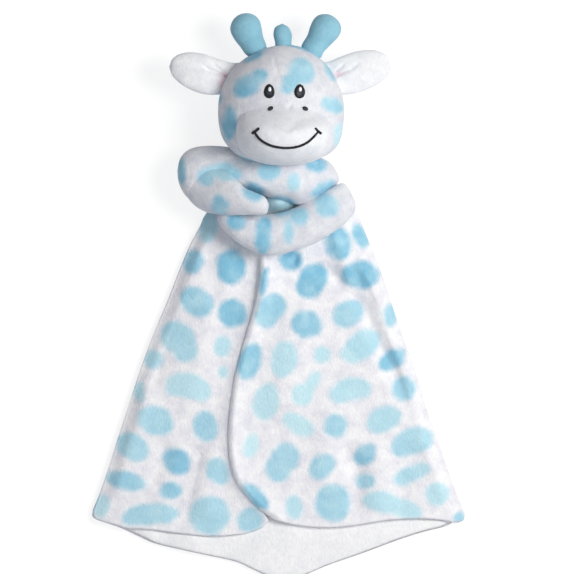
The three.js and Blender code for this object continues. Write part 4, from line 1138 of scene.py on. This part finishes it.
# On the upper panel's open edge lies a soft roll: lower underneath, thicker, and rounder than the hems.
FRONT_GAP, FRONT_THICK, FRONT_RIM, FRONT_ROUND = 2.0, 2.4, 1.0, 1.5
ROLL_REACH, ROLL_LOWER, ROLL_THICK, ROLL_RIM, ROLL_ROUND = 6.5, 3.8, 7.6, 5.9, 0.2
KNOT_SHARE = 0.4
FRONT_LINING_RIM = 1.2
CREASE_HALF = 7.0
fronts = []
for side, outer, inner, top, hem, fold_rows, on_top, patches in FRONTS:
    inner = np.asarray(inner, float)
    hem = np.asarray(hem, float)
    outer = np.asarray([*outer[:-1], tuple(hem[0])], float)
    joint = joint_of(f"{side}_flap_open")
    at, axis = np.array(joint["pos_m"]), np.array(joint["axis"])
    inward = np.cross([0, 0, 1.0], axis)
    inward *= np.sign(inward @ (np.array([0.0, -0.15, 0]) - at)) / np.linalg.norm(inward)
    for ply, columns, rows in (("outer", 110, 190), ("lining", 70, 110)):
        if ply == "outer":
            grid = panel(outer, inner, top, hem, columns, rows)
            low, from_open = front_base(grid, fold_rows, outer, on_top)
            rolled = np.exp(-(from_open / ROLL_REACH) ** 2) * on_top
            wider = rolled * (1 + KNOT_SHARE * by_knot(grid))
            cloth = cloth_panel(f"{side}_front_plush", grid, low + FRONT_GAP - ROLL_LOWER * wider,
                                FRONT_THICK + ROLL_THICK * wider, FRONT_RIM + ROLL_RIM * wider, spotted,
                                FRONT_ROUND - ROLL_ROUND * rolled)
            patches_on(cloth, patches)
            names, slot = (f"{side}_yoke_cloth", f"{side}_flap_cloth"), "spotted_plush"
        else:
            way = 1 if side == "left" else -1
            near_outer = outer + [way * 5.0, 0.8]
            near_inner = inner - [way * (6.0 if on_top else 1.2), 0]
            near_hem = hem + [0, 0.3]
            near_top = np.asarray(top, float)
            near_hem[0], near_hem[-1] = near_outer[-1], near_inner[-1]
            near_top[0], near_top[-1] = near_outer[0], near_inner[0]
            grid = panel(near_outer, near_inner, near_top, near_hem, columns, rows)
            low, _ = front_base(grid, fold_rows, outer, on_top)
            cloth = cloth_panel(f"{side}_front_lining_plush", grid, low, LINING_THICK, FRONT_LINING_RIM,
                                lining_plush)
            names, slot = (f"{side}_yoke_lining", f"{side}_flap_lining"), "lining_plush"
        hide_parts(*names)
        half = inward * CREASE_HALF * MM
        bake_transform(cloth)
        fronts.append(cloth)


# %% Say how large each cloth was cut
def area_of(obj):
    """Half the area of a closed cloth's surface, in square metres: one face of the cloth."""
    areas = np.empty(len(obj.data.polygons), np.float32)
    obj.data.polygons.foreach_get("area", areas)
    return float(areas.sum()) / 2


FRONT_FLAT = {"left": (0.130, 0.255), "right": (0.175, 0.25)}
for cloth, under in ((back, []), (back_lining, ["back_outer_plush"])):
    print(cloth.name, "is", round(area_of(cloth), 4), "square metres")
for cloth in fronts:
    side = cloth.name.split("_")[0]
    flat = FRONT_FLAT[side]
    print(cloth.name, "is", round(area_of(cloth), 4), "square metres")
